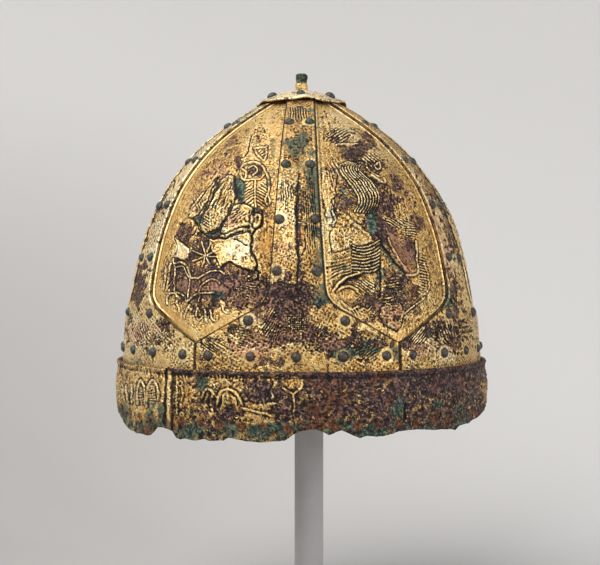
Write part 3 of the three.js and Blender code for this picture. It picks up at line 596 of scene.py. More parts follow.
class HelmFinish(bpy.types.PropertyGroup):
    """Colours of the gilding, the patina and the stand"""
    # pale gold and cream are rubbed gilding, and also the colours of painted highlights on the lit side
    pale_gold: colour("Pale gold", "Bright gilding on the lit side", 1.0, 0.745, 0.325)
    cream: colour("Cream", "Palest, rubbed gilding", 1.0, 0.875, 0.60)
    gold: colour("Gold", "Gilding in its middle tone", 0.66, 0.365, 0.093)
    deep_gold: colour("Deep gold", "Thin, browned gilding", 0.135, 0.060, 0.020)
    amber: colour("Amber", "Orange-brown bloom on the gilding", 0.48, 0.20, 0.045)
    bare_dark: colour("Bare metal, dark", "Purple-brown patina where gilding is lost", 0.024, 0.0135, 0.0155)
    bare_pale: colour("Bare metal, pale", "Mauve highlights of the bare patina", 0.15, 0.09, 0.086)
    verdigris_dark: colour("Verdigris, dark", "Deep green corrosion", 0.020, 0.046, 0.036)
    verdigris_pale: colour("Verdigris, pale", "Powdery green corrosion", 0.13, 0.22, 0.155)
    copper_pink: colour("Copper pink", "Pinkish copper under thin gilding", 0.72, 0.38, 0.23)
    rust: colour("Rust", "Iron stains", 0.085, 0.028, 0.014)
    rust_pale: colour("Rust, pale", "Brown bloom of iron and copper", 0.25, 0.092, 0.034)
    # crevice: the colour of dirt in cracks, and of painted shade in hollows, ditches, gaps and along edges
    crevice: colour("Crevice", "Dirt in cracks", 0.010, 0.007, 0.006)
    bronze: colour("Dark bronze", "Rivet heads and the finial's knob", 0.042, 0.031, 0.022)
    stand_grey: colour("Stand grey", "Paint on the stand", 0.475, 0.46, 0.46)
    paper: colour("Backdrop", "Pale backdrop", 0.65, 0.638, 0.63)
    paper_low: colour("Backdrop, low", "Backdrop where it meets the floor", 0.405, 0.392, 0.387)


class HelmStage(bpy.types.PropertyGroup):
    """Camera and light"""
    camera_distance: length("Camera distance", "From the camera to the helmet's axis", CAMERA_DISTANCE)
    sensor_width: amount("Sensor width", "Width of the camera's sensor in millimetres", 36.0)
    key_power: amount("Key light", "Power of the large light at the upper left", 63.0)
    fill_power: amount("Fill light", "Power of the soft light at the right", 19.0)
    top_power: amount("Top light", "Power of the overhead light", 6.0)
    sky: amount("Room light", "Strength of the even light all round", 0.24)


# Curves, noise and the bowl's surface

def eased(share):
    return share * share * (3 - 2 * share)


def smoothstep(low, high, value):
    return eased(np.clip((value - low) / (high - low), 0, 1))


def bump_at(value, centre, width):
    """A soft ridge of height 1 about a centre."""
    return np.exp(-((value - centre) / width) ** 2)


def curve_through(rows):
    """A smooth curve through a table's rows, slopes taken between neighbours."""
    keys, values = np.array(sorted(rows), float).T
    slopes = np.empty_like(values)
    slopes[1:-1] = (values[2:] - values[:-2]) / (keys[2:] - keys[:-2])
    slopes[0] = (values[1] - values[0]) / (keys[1] - keys[0])
    slopes[-1] = (values[-1] - values[-2]) / (keys[-1] - keys[-2])

    def at(key):
        key = np.asarray(key, float)
        i = np.clip(np.searchsorted(keys, key) - 1, 0, len(keys) - 2)
        span = keys[i + 1] - keys[i]
        t = (key - keys[i]) / span
        a = (1 + 2 * t) * (1 - t) ** 2 * values[i] + t * (1 - t) ** 2 * span * slopes[i]
        return a + t * t * (3 - 2 * t) * values[i + 1] + t * t * (t - 1) * span * slopes[i + 1]
    return at


def lines_through(rows):
    keys, values = np.array(sorted(rows), float).T
    return lambda key: np.interp(key, keys, values)


NOISE_CELLS = 128
NOISE_START = 500
OCTAVE_SHIFT = (17.3, 9.1)


def swing(x, y, size, seed, octaves=3):
    """Smooth seeded noise from -1 to 1, with features of the given size."""
    cells = np.random.default_rng(seed).random((NOISE_CELLS, NOISE_CELLS))
    total = np.zeros(np.shape(x))
    reach = 0.0
    for octave in range(octaves):
        u = x / size * 2 ** octave + OCTAVE_SHIFT[0] * octave + NOISE_START
        v = y / size * 2 ** octave + OCTAVE_SHIFT[1] * octave + NOISE_START
        i, j = np.floor(u).astype(int), np.floor(v).astype(int)
        fu, fv = eased(u - i), eased(v - j)
        i, next_i, j, next_j = (k % NOISE_CELLS for k in (i, i + 1, j, j + 1))
        low = cells[i, j] * (1 - fu) + cells[next_i, j] * fu
        high = cells[i, next_j] * (1 - fu) + cells[next_i, next_j] * fu
        weight = 0.5 ** octave
        total += weight * (low * (1 - fv) + high * fv)
        reach += weight
    return 2 * total / reach - 1


bowl_radius = curve_through(BOWL_PROFILE)
strap_half = curve_through(STRAP_HALF_WIDTH)
band_radius = lines_through(BAND_PROFILE)
rim_height = lines_through(RIM_EDGE)
SLOPE_STEP = 0.5


def slope_of(function, z):
    return (function(z + SLOPE_STEP) - function(z - SLOPE_STEP)) / (2 * SLOPE_STEP)


def bowl_point(angle, z, offset):
    """Points on the bowl in millimetres, moved out along its normal."""
    slope = slope_of(bowl_radius, z)
    slant = np.hypot(1, slope)
    radius = bowl_radius(z) + offset / slant
    return np.stack([radius * np.sin(angle), -PLAN_DEPTH_RATIO * radius * np.cos(angle),
                     z - offset * slope / slant], axis=-1)


def strap_edge(z):
    """Half the strap's width along the surface: strap, slanting foot, upright seam."""
    z = np.asarray(z, float)
    corner_z, corner_half = min(STRAP_HALF_WIDTH)
    seam = bowl_radius(z) * HALF_SECTOR - SEAM_HALF_GAP
    seam_top = bowl_radius(SEAM_TOP) * HALF_SECTOR - SEAM_HALF_GAP
    foot = corner_half + (corner_z - z) / (corner_z - SEAM_TOP) * (seam_top - corner_half)
    return np.where(z >= corner_z, strap_half(z), np.where(z <= SEAM_TOP, seam, foot))


def along_row(z):
    """Length along a row for one millimetre square to the strap's edge."""
    return np.hypot(1, slope_of(strap_edge, z))


def run_down(heights):
    """Length along the bowl's outline from the first of the heights to each of them."""
    return np.concatenate([[0], np.cumsum(np.hypot(np.diff(heights), np.diff(bowl_radius(heights))))])


def even_heights(top, bottom, step):
    """Heights from top to bottom, evenly spaced along the bowl's outline."""
    fine = np.linspace(top, bottom, 2000)
    run = run_down(fine)
    count = int(run[-1] / step) + 1
    return np.interp(np.linspace(0, run[-1], count), run, fine)


OUTLINE_END = 110
OUTLINE_HEIGHTS = np.linspace(BOWL_PROFILE[-1][0], OUTLINE_END, 4000)
OUTLINE_RUN = run_down(OUTLINE_HEIGHTS)


def outline_run(z):
    """Length along the bowl's outline from the crown, for flat maps and grain."""
    return np.interp(-z, -OUTLINE_HEIGHTS, OUTLINE_RUN)


def photo_pixel(points):
    """Where points of the helmet, in millimetres, fall in the photograph's frame."""
    sine, cosine = math.sin(CAMERA_AZIMUTH), math.cos(CAMERA_AZIMUTH)
    x, y, z = points[..., 0], points[..., 1], points[..., 2]
    depth = CAMERA_DISTANCE - (x * sine - y * cosine)
    focal = CAMERA_DISTANCE / MM_PER_PIXEL
    across = x * cosine + y * sine - CAMERA_SIDE
    return PHOTO_WIDTH / 2 + across / depth * focal, PHOTO_HEIGHT / 2 - (z - CAMERA_HEIGHT) / depth * focal


# Relief and patina charts

def smooth_line(points, per_span=6):
    """A chain of short straight pieces through given points, rounded between them."""
    points = np.array(points, float)
    if len(points) < 3 or per_span == 1:
        return points
    marks = np.arange(len(points))
    fine = np.linspace(0, len(points) - 1, per_span * (len(points) - 1) + 1)
    return np.stack([curve_through(list(zip(marks, points[:, k])))(fine) for k in (0, 1)], axis=-1)


def resampled(line, count):
    share = np.linspace(0, 1, count)
    return np.stack([np.interp(share, np.linspace(0, 1, len(line)), line[:, k]) for k in (0, 1)], axis=-1)


class Chart:
    """Photograph places of a sheet's corners, with the relief and patina laid on them."""

    LAYERS = ("height", "gilt", "bright", "green", "pink", "rust", "dark", "smooth")

    def __init__(self, x, y, across, along, seed, drift=0.0):
        self.across, self.along, self.seed = across, along, seed
        hand, wide = 1.1, 45
        self.x = x + hand * swing(x, y, 7, seed + 61) + drift * self.grain(wide, 63, 2)
        self.y = y + hand * swing(x, y, 7, seed + 62) + drift * self.grain(wide, 64, 2)
        for layer in (*self.LAYERS, "crest", "ditch"):
            setattr(self, layer, np.zeros_like(x))

    def grain(self, size, shift, octaves=3):
        """Noise from -1 to 1 over the sheet itself, in millimetres."""
        return swing(self.across, self.along, size, self.seed + shift, octaves)

    def distance(self, points, reach, jag=0.0):
        """Corners near a line, how far from it in pixels, on which side of it, and if it rings them."""
        low, high = points.min(0) - reach, points.max(0) + reach
        within_x = (self.x > low[0]) & (self.x < high[0])
        near = np.flatnonzero(within_x & (self.y > low[1]) & (self.y < high[1]))
        px, py = self.x[near], self.y[near]
        if jag:
            shift_x, shift_y = swing(px, py, 5, self.seed + 71), swing(px, py, 5, self.seed + 72)
            px, py = px + jag * shift_x, py + jag * shift_y
        best, side = np.full(len(near), reach + 1.0), np.zeros(len(near))
        ringed = np.zeros(len(near), bool)
        for (ax, ay), (bx, by) in zip(points[:-1], points[1:]):
            dx, dy = bx - ax, by - ay
            t = np.clip(((px - ax) * dx + (py - ay) * dy) / (dx * dx + dy * dy + 1e-9), 0, 1)
            far = np.hypot(px - ax - t * dx, py - ay - t * dy)
            side = np.where(far < best, (px - ax) * dy - (py - ay) * dx, side)
            best = np.minimum(best, far)
            ringed ^= ((ay > py) != (by > py)) & ((px - ax) * abs(dy) < (py - ay) * dx * np.sign(dy))
        return near, best, np.sign(side), ringed

    def raise_line(self, height, width, line, shade):
        """A raised line, rubbed bright, between two ditches darkened with painted shade."""
        near, far, _, _ = self.distance(line, 4 * width)
        crest = bump_at(far, 0, 0.65 * width)
        ditch = bump_at(far, 1.7 * width, 0.7 * width)
        self.height[near] = np.maximum(self.height[near], height * crest) - 0.15 * height * ditch
        self.gilt[near] += 1.1 * crest
        self.bright[near] += 0.45 * crest
        self.crest[near] = np.maximum(self.crest[near], crest)
        # painted shade in the ditches beside the line
        self.ditch[near] = np.maximum(self.ditch[near], shade * ditch)

    def stroke(self, mark):
        self.raise_line(mark.height, mark.width, smooth_line(mark.points), 0.6)

    def bundle(self, mark):
        """Raised lines spread evenly from a first line to a last one."""
        first, last = smooth_line(mark.first), smooth_line(mark.last)
        count = max(len(first), len(last))
        first, last = resampled(first, count), resampled(last, count)
        for share in np.linspace(0, 1, mark.count):
            self.raise_line(mark.height, mark.width, first + share * (last - first), 2.5 * mark.height)

    def crack(self, mark):
        """A torn line: a dark cut with the sheet standing up along one side."""
        near, far, side, _ = self.distance(smooth_line(mark.points, 1), 4 * mark.width + 4, 1.7)
        cut = bump_at(far, 0, 0.55 * mark.width)
        lip = bump_at(far, 1.8 * mark.width, 1.1 * mark.width) * np.where(side > 0, 1.0, 0.2)
        self.height[near] += 0.55 * mark.depth * lip - mark.depth * cut
        self.dark[near] += 1.3 * cut
        self.bright[near] += 0.3 * lip

    def flake(self, mark):
        """A lifted sheet inside a closed line: its rim curls up over a gap darkened with painted shade."""
        near, far, _, ringed = self.distance(np.array([*mark.points, mark.points[0]], float), 5, 1.5)
        inward = np.where(ringed, far, -far)
        sheet, curl = smoothstep(-0.5, 0.6, inward), bump_at(inward, 1.1, 1.2)
        gap = bump_at(inward, -1.3, 0.9)
        self.height[near] += mark.height * (0.75 * sheet + 0.45 * curl) - 0.3 * gap
        self.gilt[near] += 0.35 * sheet
        self.bright[near] += 0.3 * curl
        # painted shade in the gap under the curled rim, deeper under higher flakes
        self.dark[near] += 1.1 * mark.height * gap

    def inside(self, mark, ragged=0.75):
        """A soft spot with a broken edge: about 1 inside an ellipse and 0 outside."""
        turn = math.radians(mark.turn)
        dx, dy = self.x - mark.x, self.y - mark.y
        u = (dx * math.cos(turn) + dy * math.sin(turn)) / mark.rx
        v = (-dx * math.sin(turn) + dy * math.cos(turn)) / mark.ry
        edge = swing(self.x, self.y, 8, self.seed + 5 + int(mark.x) % 7, 4) * ragged
        return 1 - smoothstep(0.5, 1.3, np.hypot(u, v) + edge)

    def stain(self, mark):
        layer = getattr(self, mark.layer)
        layer += mark.amount * self.inside(mark)

    def hatch(self, mark):
        """A spot of straight chased lines, gold on their crests and dark between."""
        spot = Stain("height", 1, mark.x, mark.y, mark.rx, mark.ry)
        turn = math.radians(mark.turn)
        wobble = 0.8 * swing(self.x, self.y, 6, self.seed + 23)
        off_line = -(self.x - mark.x) * math.sin(turn) + (self.y - mark.y) * math.cos(turn) + wobble
        wave = 0.5 + 0.5 * np.cos(math.tau * (off_line / mark.pitch))
        share = self.inside(spot, 0.35)
        self.height += mark.height * share * (wave ** 1.5 - 0.35)
        self.gilt += 0.9 * share * (wave - 0.4)
        self.bright += 0.4 * share * (wave - 0.3)
        self.dark += 0.9 * share * smoothstep(0.45, 0.0, wave)

    def rough(self, mark):
        """A lumpy spot whose ridges may run in one direction."""
        turn = math.radians(mark.turn)
        along = (self.x * math.cos(turn) + self.y * math.sin(turn)) / mark.stretch
        across = -self.x * math.sin(turn) + self.y * math.cos(turn)
        ridge = 1 - np.abs(swing(along, across, mark.grain, self.seed + int(mark.x), 3)) * 2.2
        share = self.inside(Stain("height", 1, mark.x, mark.y, mark.rx, mark.ry))
        self.height += mark.height * share * (ridge - 0.4)
        self.gilt += 0.45 * share * (ridge - 0.45)
        self.dark += 0.5 * share * smoothstep(0.0, -0.7, ridge)

    def lay(self, strokes=(), bundles=(), hatches=(), roughs=(), cracks=(), flakes=(), stains=()):
        """Lay marks in the order in which they lie on the metal: stains first, cracks last."""
        for marks, draw in ((stains, self.stain), (roughs, self.rough), (flakes, self.flake),
                            (hatches, self.hatch), (bundles, self.bundle), (strokes, self.stroke)):
            for mark in marks:
                draw(mark)
        # the painted shade of the ditches joins the dark layer, off the crests
        self.dark = (self.dark + self.ditch) * (1 - self.crest)
        for mark in cracks:
            self.crack(mark)

    def wear(self, spread, lumps):
        """Break the gilding's share up into worn patches and roughen the metal under them."""
        coarse, fine = self.grain(10, 1, 5), self.grain(2.6, 2, 3)
        worn = smoothstep(0.0, 1.0, 1 - self.gilt + spread * (0.5 * coarse + 0.3 * fine))
        calm = 1 - np.clip(self.smooth, 0, 1)
        lump = 0.7 * self.grain(3.0, 3, 3) * (0.35 + worn) + 0.5 * self.grain(15, 4, 2)
        self.height += calm * lumps * lump - 0.16 * smoothstep(0.35, 0.65, worn)
        self.gilt = 1 - worn + np.clip(0.6 * self.gilt, -0.5, 0.0)

    def settle_dirt_and_shade(self, faces, rounds=6):
        """Rub the crests bright and darken the hollows with dirt and painted shade."""
        a, b = np.concatenate([faces[:, (0, 1)], faces[:, (1, 2)], faces[:, (2, 0)]]).T
        count = len(self.height)
        degree = np.maximum(np.bincount(a, minlength=count) + np.bincount(b, minlength=count), 1)
        mean = self.height
        for _ in range(rounds):
            mean = (np.bincount(a, mean[b], count) + np.bincount(b, mean[a], count)) / degree
        hollow = self.height - mean
        # dirt and painted shade in the hollows, found from the relief
        self.dark += np.clip(-5.5 * hollow - 0.1, 0, 0.8)
        self.gilt += np.clip(2.2 * hollow, 0, 0.5)
        self.bright += np.clip(4.0 * hollow, -0.5, 0.8)


PlateLook = namedtuple(
    "PlateLook", "marks home mirrored gilt bright line left_calm right_calm left_rib right_rib")
PLATE_LOOKS = [  # plates 1 to 6, counted from the one right of the brow's front
    PlateLook(RIGHT_PLATE, HALF_SECTOR, False, 0.66, 0.0, 0.1, 0.45, 0.4, 0.6, 0.7),
    PlateLook(LEFT_PLATE, -HALF_SECTOR, True, 0.62, -0.1, 0.08, 0.5, 0.5, 0.3, 0.4),
    PlateLook(RIGHT_PLATE, HALF_SECTOR, True, 0.70, 0.05, 0.1, 0.6, 0.4, 0.4, 0.2),
    PlateLook(LEFT_PLATE, -HALF_SECTOR, False, 0.70, 0.0, 0.08, 0.4, 0.7, 0.2, 0.4),
    PlateLook(RIGHT_PLATE, HALF_SECTOR, True, 0.68, 0.1, 0.1, 0.7, 0.5, 0.4, 0.3),
    PlateLook(LEFT_PLATE, -HALF_SECTOR, False, 0.78, 0.15, 0.03, 0.9, 0.15, 0.9, 0.0),
]
StrapLook = namedtuple("StrapLook", "marks home pairs gilt bright green bead")
STRAP_LOOKS = [  # straps 1 to 6, counted from the brow's front to the right
    StrapLook(FRONT_STRAP, 0.0, MIDDLE_STRAP_PAIRS, 0.72, 0.0, 0.05, 0.1),
    StrapLook(RIGHT_STRAP, SECTOR, SIDE_STRAP_PAIRS, 0.7, 0.1, 0.0, 0.9),
    StrapLook(FRONT_STRAP, 0.0, SIDE_STRAP_PAIRS, 0.7, 0.0, 0.1, 0.9),
    StrapLook(FRONT_STRAP, 0.0, MIDDLE_STRAP_PAIRS, 0.7, 0.0, 0.1, 0.5),
    StrapLook(LEFT_STRAP, -SECTOR, SIDE_STRAP_PAIRS, 0.72, 0.1, 0.05, 1.0),
    StrapLook(LEFT_STRAP, -SECTOR, SIDE_STRAP_PAIRS, 0.82, 0.6, 0.0, 1.0),
]


# Meshes

def zip_rows(lower, upper):
    """Triangles between two rows of corners that may differ in number."""
    faces = []
    i = j = 0
    n, m = len(lower) - 1, len(upper) - 1
    while i < n or j < m:
        if j == m or (i < n and (i + 1) * m <= (j + 1) * n):
            faces.append((lower[i], lower[i + 1], upper[j]))
            i += 1
        else:
            faces.append((lower[i], upper[j + 1], upper[j]))
            j += 1
    return faces


def rows_of(counts, start=0):
    """Corner numbers of rows laid one after another."""
    ends = start + np.cumsum(counts)
    return [list(range(end - count, end)) for end, count in zip(ends, counts)]


def skin_faces(outer, inner):
    """Faces of a sheet's two sides and its upper and lower edge; rows run left to right, top row first."""
    faces = []
    for top, bottom in zip(outer[:-1], outer[1:]):
        faces += zip_rows(bottom, top)
    for top, bottom in zip(inner[:-1], inner[1:]):
        faces += zip_rows(top, bottom)
    return faces + zip_rows(outer[0], inner[0]) + zip_rows(inner[-1], outer[-1])


def column(rows, end):
    return [row[end] for row in rows]


def sheet_faces(outer, inner):
    """Closed faces of a sheet with a left and a right edge."""
    left = zip_rows(column(outer, 0)[::-1], column(inner, 0)[::-1])
    return skin_faces(outer, inner) + left + zip_rows(column(outer, -1), column(inner, -1))


def closed(rows):
    """Rows that end in the corner they start from."""
    return [row + row[:1] for row in rows]


def ring_faces(outer, inner):
    """Closed faces of a ring-shaped sheet."""
    return skin_faces(closed(outer), closed(inner))


def own_faces(faces, corners):
    """Faces that use only the first corners, the ones of the outer side."""
    faces = np.array(faces)
    return faces[faces.max(1) < corners]


def add_piece(name, points, faces, material, layers=None, uv=None):
    """A mesh object at the origin from points in millimetres, with patina attributes and a flat map."""
    mesh = bpy.data.meshes.new(name)
    mesh.from_pydata((points * MM).tolist(), [], faces)
    mesh.polygons.foreach_set("use_smooth", np.ones(len(mesh.polygons), bool))
    for layer, values in (layers or {}).items():
        mesh.attributes.new(layer, "FLOAT", "POINT").data.foreach_set("value", values.astype(np.float32))
    if uv is not None:
        corners = np.empty(len(mesh.loops), np.int32)
        mesh.loops.foreach_get("vertex_index", corners)
        mesh.uv_layers.new(name="Surface").data.foreach_set("uv", uv[corners].astype(np.float32).ravel())
    mesh.materials.append(material)
    mesh.update()
    piece = bpy.data.objects.new(name, mesh)
    bpy.context.scene.collection.objects.link(piece)
    return piece


def settle(piece, slot, *nodes):
    """Let a finished piece ride on the helmet's body in place of its nodes."""
    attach(piece, BODY)
    if nodes:
        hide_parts(*nodes)


PATINA = ("gilt", "bright", "green", "pink", "rust", "dark", "smooth", "punch", "halo")
INSIDE_PATINA = {"gilt": 0.2, "bright": -0.3, "green": 0.15, "rust": 0.3, "dark": 0.15}


def patina_of(chart, inner_count, **extra):
    """The chart's layers for the outer corners, and dull bare metal for the inner ones."""
    layers = {}
    for layer in PATINA:
        values = extra.get(layer, getattr(chart, layer, np.zeros_like(chart.x)))
        layers[layer] = np.concatenate([values, np.full(inner_count, INSIDE_PATINA.get(layer, 0.0))])
    return layers


# Materials

class Value:
    """A node socket that takes part in Python sums."""

    def __init__(self, shader, socket):
        self.shader, self.socket = shader, socket

    def _math(self, operation, a, b):
        return self.shader.node("ShaderNodeMath", {"operation": operation}, {0: a, 1: b})

    def __add__(self, other):
        return self._math("ADD", self, other)

    def __sub__(self, other):
        return self._math("SUBTRACT", self, other)

    def __rsub__(self, other):
        return self._math("SUBTRACT", other, self)

    def __mul__(self, other):
        return self._math("MULTIPLY", self, other)

    __radd__ = __add__
    __rmul__ = __mul__


class Shader:
    """A material's node tree, filled by short calls."""

    def __init__(self, name):
        self.material = bpy.data.materials.new(name)
        self.material.use_nodes = True
        self.tree = self.material.node_tree
        self.surface = next(n for n in self.tree.nodes if n.type == "BSDF_PRINCIPLED")

    def node(self, kind, settings=None, inputs=None, output=0):
        """Any node: its settings first, then values or links for its sockets."""
        node = self.tree.nodes.new(kind)
        for key, value in (settings or {}).items():
            setattr(node, key, value)
        for key, value in (inputs or {}).items():
            self.feed(node.inputs[key], value)
        return Value(self, node.outputs[output])

    def feed(self, socket, value):
        if isinstance(value, Value):
            self.tree.links.new(value.socket, socket)
        elif hasattr(socket.default_value, "__len__") and len(socket.default_value) == 4 and len(value) == 3:
            socket.default_value = (*value, 1)
        else:
            socket.default_value = value

    def layer(self, name):
        return self.node("ShaderNodeAttribute", {"attribute_name": name}, output=2)

    def place(self):
        """The point in the piece's own space."""
        return self.node("ShaderNodeTexCoord", output=3)

    def swing(self, place, size_mm, detail):
        """Noise of the given grain that swings about 0, mostly between -1 and 1."""
        noise = self.node("ShaderNodeTexNoise", {"noise_dimensions": "3D"},
                          {"Vector": place, "Scale": 1 / (size_mm * MM), "Detail": detail, "Roughness": 0.66})
        return (noise - 0.5) * 6.0

    def part(self, vector, axis):
        return self.node("ShaderNodeSeparateXYZ", None, {0: vector}, output=axis)

    def larger(self, a, b):
        return self.node("ShaderNodeMath", {"operation": "MAXIMUM"}, {0: a, 1: b})

    def between(self, value, low, high):
        """0 below the low value and 1 above the high one, with a soft step between."""
        return self.node("ShaderNodeMapRange", {"interpolation_type": "SMOOTHSTEP", "clamp": True},
                         {"Value": value, "From Min": low, "From Max": high})

    def mix(self, share, a, b):
        return self.node("ShaderNodeMix", {"data_type": "RGBA"}, {0: share, 6: a, 7: b}, output=2)

    def bump(self, height, distance_mm, strength):
        return self.node("ShaderNodeBump", None,
                         {"Height": height, "Distance": distance_mm * MM, "Strength": strength})

    def finish(self, **sockets):
        """Feed the shader's own sockets, named with underscores for spaces, and hand the material over."""
        for name, value in sockets.items():
            self.feed(self.surface.inputs[name.replace("_", " ")], value)
        return self.material


def punch_dots(shader, flat, pitch_mm):
    """Rows of punched dots on the flat map, from 0 between dots to 1 in a dot."""
    warp = shader.swing(shader.place(), 4.0, 2.0)
    u, v = shader.part(flat, 0) + warp * 0.4, shader.part(flat, 1) + warp * 0.35

    def wave(value):
        return shader.node("ShaderNodeMath", {"operation": "COSINE"}, {0: value * (math.tau / pitch_mm)})
    return shader.between(wave(u * 0.86 + v * 0.5) * 0.5 + wave(v * 0.86 - u * 0.5) * 0.5, 0.15, 0.6)


def gilded_metal(name, look, punched=False):
    """Worn gilding over bare copper alloy, stained by verdigris, copper, rust and dirt."""
    s = Shader(name)
    place, layer = s.place(), s.layer
    flat = s.node("ShaderNodeUVMap", {"uv_map": "Surface"})
    along = s.node("ShaderNodeVectorMath", {"operation": "MULTIPLY"}, {0: flat, 1: (MM, 0.2 * MM, 0)})
    cloud, patch = s.swing(place, 22, 2), s.swing(place, 6.0, 2)
    fleck, grain = s.swing(place, 2.3, 1), s.swing(place, 1.05, 0)
    streak = s.swing(along, 1.5, 1)

    # Where the metal is restless, and how its grain breaks every edge up
    restless = (1 - layer("smooth") * 0.75) * (0.62 + s.between(cloud, -0.6, 0.5) * 0.6)
    grit = (patch * 0.38 + fleck * 0.4 + grain * 0.28 + streak * 0.16) * restless

    # Gilding from thin and brown to rubbed and pale, with amber bloom and pits; painted highlight and shade
    # in the bright layer come through the tone
    mottle = cloud * 0.14 + patch * 0.24 + fleck * 0.17 + streak * 0.16 + grain * 0.27
    tone = layer("bright") * 0.45 + 0.64 + mottle * restless * 1.4
    gold = s.mix(s.between(tone, -0.25, 0.75), look.deep_gold, look.gold)
    gold = s.mix(s.between(tone, 0.3, 1.1), gold, look.pale_gold)
    gold = s.mix(s.between(tone, 0.9, 1.6), gold, look.cream)
    pink = s.between(layer("pink") + grit * 0.5, 0.3, 0.9)
    copper = s.mix(s.between(tone, 0.1, 0.9), look.rust_pale, look.copper_pink)
    gold = s.mix(pink * 0.75, gold, copper)
    amber = s.between(patch * 0.6 + streak * 0.5 - cloud * 0.3, 0.1, 0.8)
    gold = s.mix(amber * 0.5, gold, look.amber)
    pits = s.between(grain * 0.75 + fleck * 0.35 + streak * 0.2, 0.42, 0.72)
    pits = pits * s.between(patch + cloud * 0.6, -0.9, 0.4) * restless
    gold = s.mix(pits * 0.9, gold, look.bare_dark)

    # Bare metal where the gilding is lost, with a painted highlight along the gilding's edge above the loss
    # and painted shadow with a dark outline below it
    bare = s.mix(s.between(fleck * 0.6 + grain * 0.5, -0.4, 0.7), look.bare_dark, look.bare_pale)
    bare = s.mix(s.between(patch * 0.7 + streak * 0.5 + fleck * 0.3, 0.1, 1.0) * 0.45, bare, look.rust_pale)
    crumbs = s.between(grain * 0.6 + fleck * 0.5 - patch * 0.2 + layer("gilt") * 0.9, 0.7, 1.0)
    bare = s.mix(crumbs * restless * 0.9, bare, look.gold)
    bare = s.mix(pink * 0.5, bare, copper)
    loss = 1 - layer("gilt") + grit * 0.85
    worn = s.between(loss, 0.44, 0.57)
    # the pale rim is a painted highlight on the gilding's edge; the dark rim inside the loss is painted
    # shadow with a dark outline
    lifted = s.between(loss, 0.2, 0.4) * (1 - worn)
    undercut_shade = worn * (1 - s.between(loss, 0.62, 0.85))
    tint = s.mix(worn, s.mix(lifted * 0.3, gold, look.pale_gold), s.mix(undercut_shade * 0.8, bare, look.crevice))

    # Rust, verdigris, rubbed rings, punched dots, and dirt with painted shade
    oxide = s.mix(s.between(fleck * 0.6 + grain * 0.5, -0.3, 0.7), look.rust, look.rust_pale)
    rust = s.between(layer("rust") + grit * 0.7, 0.35, 0.95)
    tint = s.mix(rust * 0.8, tint, oxide)
    powder = s.mix(s.between(fleck * 0.5 + grain * 0.5, -0.2, 0.9), look.verdigris_dark, look.verdigris_pale)
    green = s.between(layer("green") + grit * 0.65, 0.35, 0.95)
    tint = s.mix(green * 0.85, tint, powder)
    halo = s.between(layer("halo") + grit * 0.5, 0.35, 0.9)
    tint = s.mix(halo * 0.85, tint, gold)
    relief = (fleck * 0.26 + grain * 0.24 + streak * 0.1) * restless - worn * 0.5 + green * 0.25 - pits * 0.5
    if punched:
        dots = punch_dots(s, flat, 1.85) * layer("punch") * (1 - halo)
        tint = s.mix(dots * 0.8, tint, look.bare_dark)
        relief = relief - dots * 0.8
    # the dark layer holds dirt and painted shade, both laid in the crevice colour
    dirt_and_shade = s.between(layer("dark") + grit * 0.12, 0.1, 0.95)
    tint = s.mix(dirt_and_shade * 0.94, tint, look.crevice)

    dull = s.larger(s.larger(worn * 0.8, green), s.larger(dirt_and_shade, rust))
    metal = 0.66 - dull * 0.52
    rough = 0.42 + dull * 0.2 + patch * 0.05 + grain * 0.06
    return s.finish(Base_Color=tint, Metallic=metal, Roughness=rough, Normal=s.bump(relief, 0.42, 1.0),
                    Specular_IOR_Level=0.25)


def dark_bronze(name, look):
    """Dark bronze, greener in places and brown where it is rubbed."""
    s = Shader(name)
    place = s.place()
    broad, head, fleck = s.swing(place, 60, 2), s.swing(place, 9, 2), s.swing(place, 1.1, 4)
    base = s.mix(s.between(broad * 0.8 + head * 0.4, 0.0, 0.9), look.bronze, look.verdigris_dark)
    base = s.mix(s.between(fleck * 0.7 + head * 0.5, 0.4, 1.1) * 0.4, base, look.verdigris_pale)
    base = s.mix(s.between(fleck * 0.7 - head * 0.6, 0.4, 1.1) * 0.6, base, look.deep_gold)
    rough = 0.17 + fleck * 0.06
    return s.finish(Base_Color=base, Metallic=0.3, Roughness=rough, Normal=s.bump(fleck, 0.1, 0.8), IOR=1.7)


def stand_paint(name, look):
    """Matte grey paint with a fine orange-peel grain."""
    s = Shader(name)
    place = s.place()
    cloud, peel = s.swing(place, 40, 3), s.swing(place, 0.9, 3)
    deeper = tuple(0.92 * channel for channel in look.stand_grey)
    base = s.mix(s.between(cloud * 0.7 + peel * 0.3, -0.5, 0.5), deeper, look.stand_grey)
    rough = 0.58 + peel * 0.05
    return s.finish(Base_Color=base, Roughness=rough, Normal=s.bump(peel, 0.02, 0.4))


def paper(name, look):
    """Pale matte backdrop paper with painted light and shade: deeper towards the floor and the left, lighter
    low on the right where the helmet's shadow falls.
    """
    s = Shader(name)
    place = s.place()
    across, height = s.part(place, 0), s.part(place, 2)
    mottle = s.swing(place, 260, 3)
    side = s.between(across, -0.6, 0.6) - 0.5
    # painted light and shade: lighter low on the right over the helmet's shadow, darker towards the floor
    light = s.between(height + side * (1 - height) + mottle * 0.01, -0.55, 0.45)
    tint = s.mix(light, look.paper_low, look.paper)
    return s.finish(Base_Color=tint, Roughness=0.9 + mottle * 0.03)


# Pieces

def grid(heights, half, step):
    """Corners in even rows: how many in each row, then each one's place across and its height."""
    counts = np.maximum((2 * half / step).astype(int), 4) + 1
    share = np.concatenate([np.linspace(-1, 1, count) for count in counts])
    return counts, share * np.repeat(half, counts), np.repeat(heights, counts)


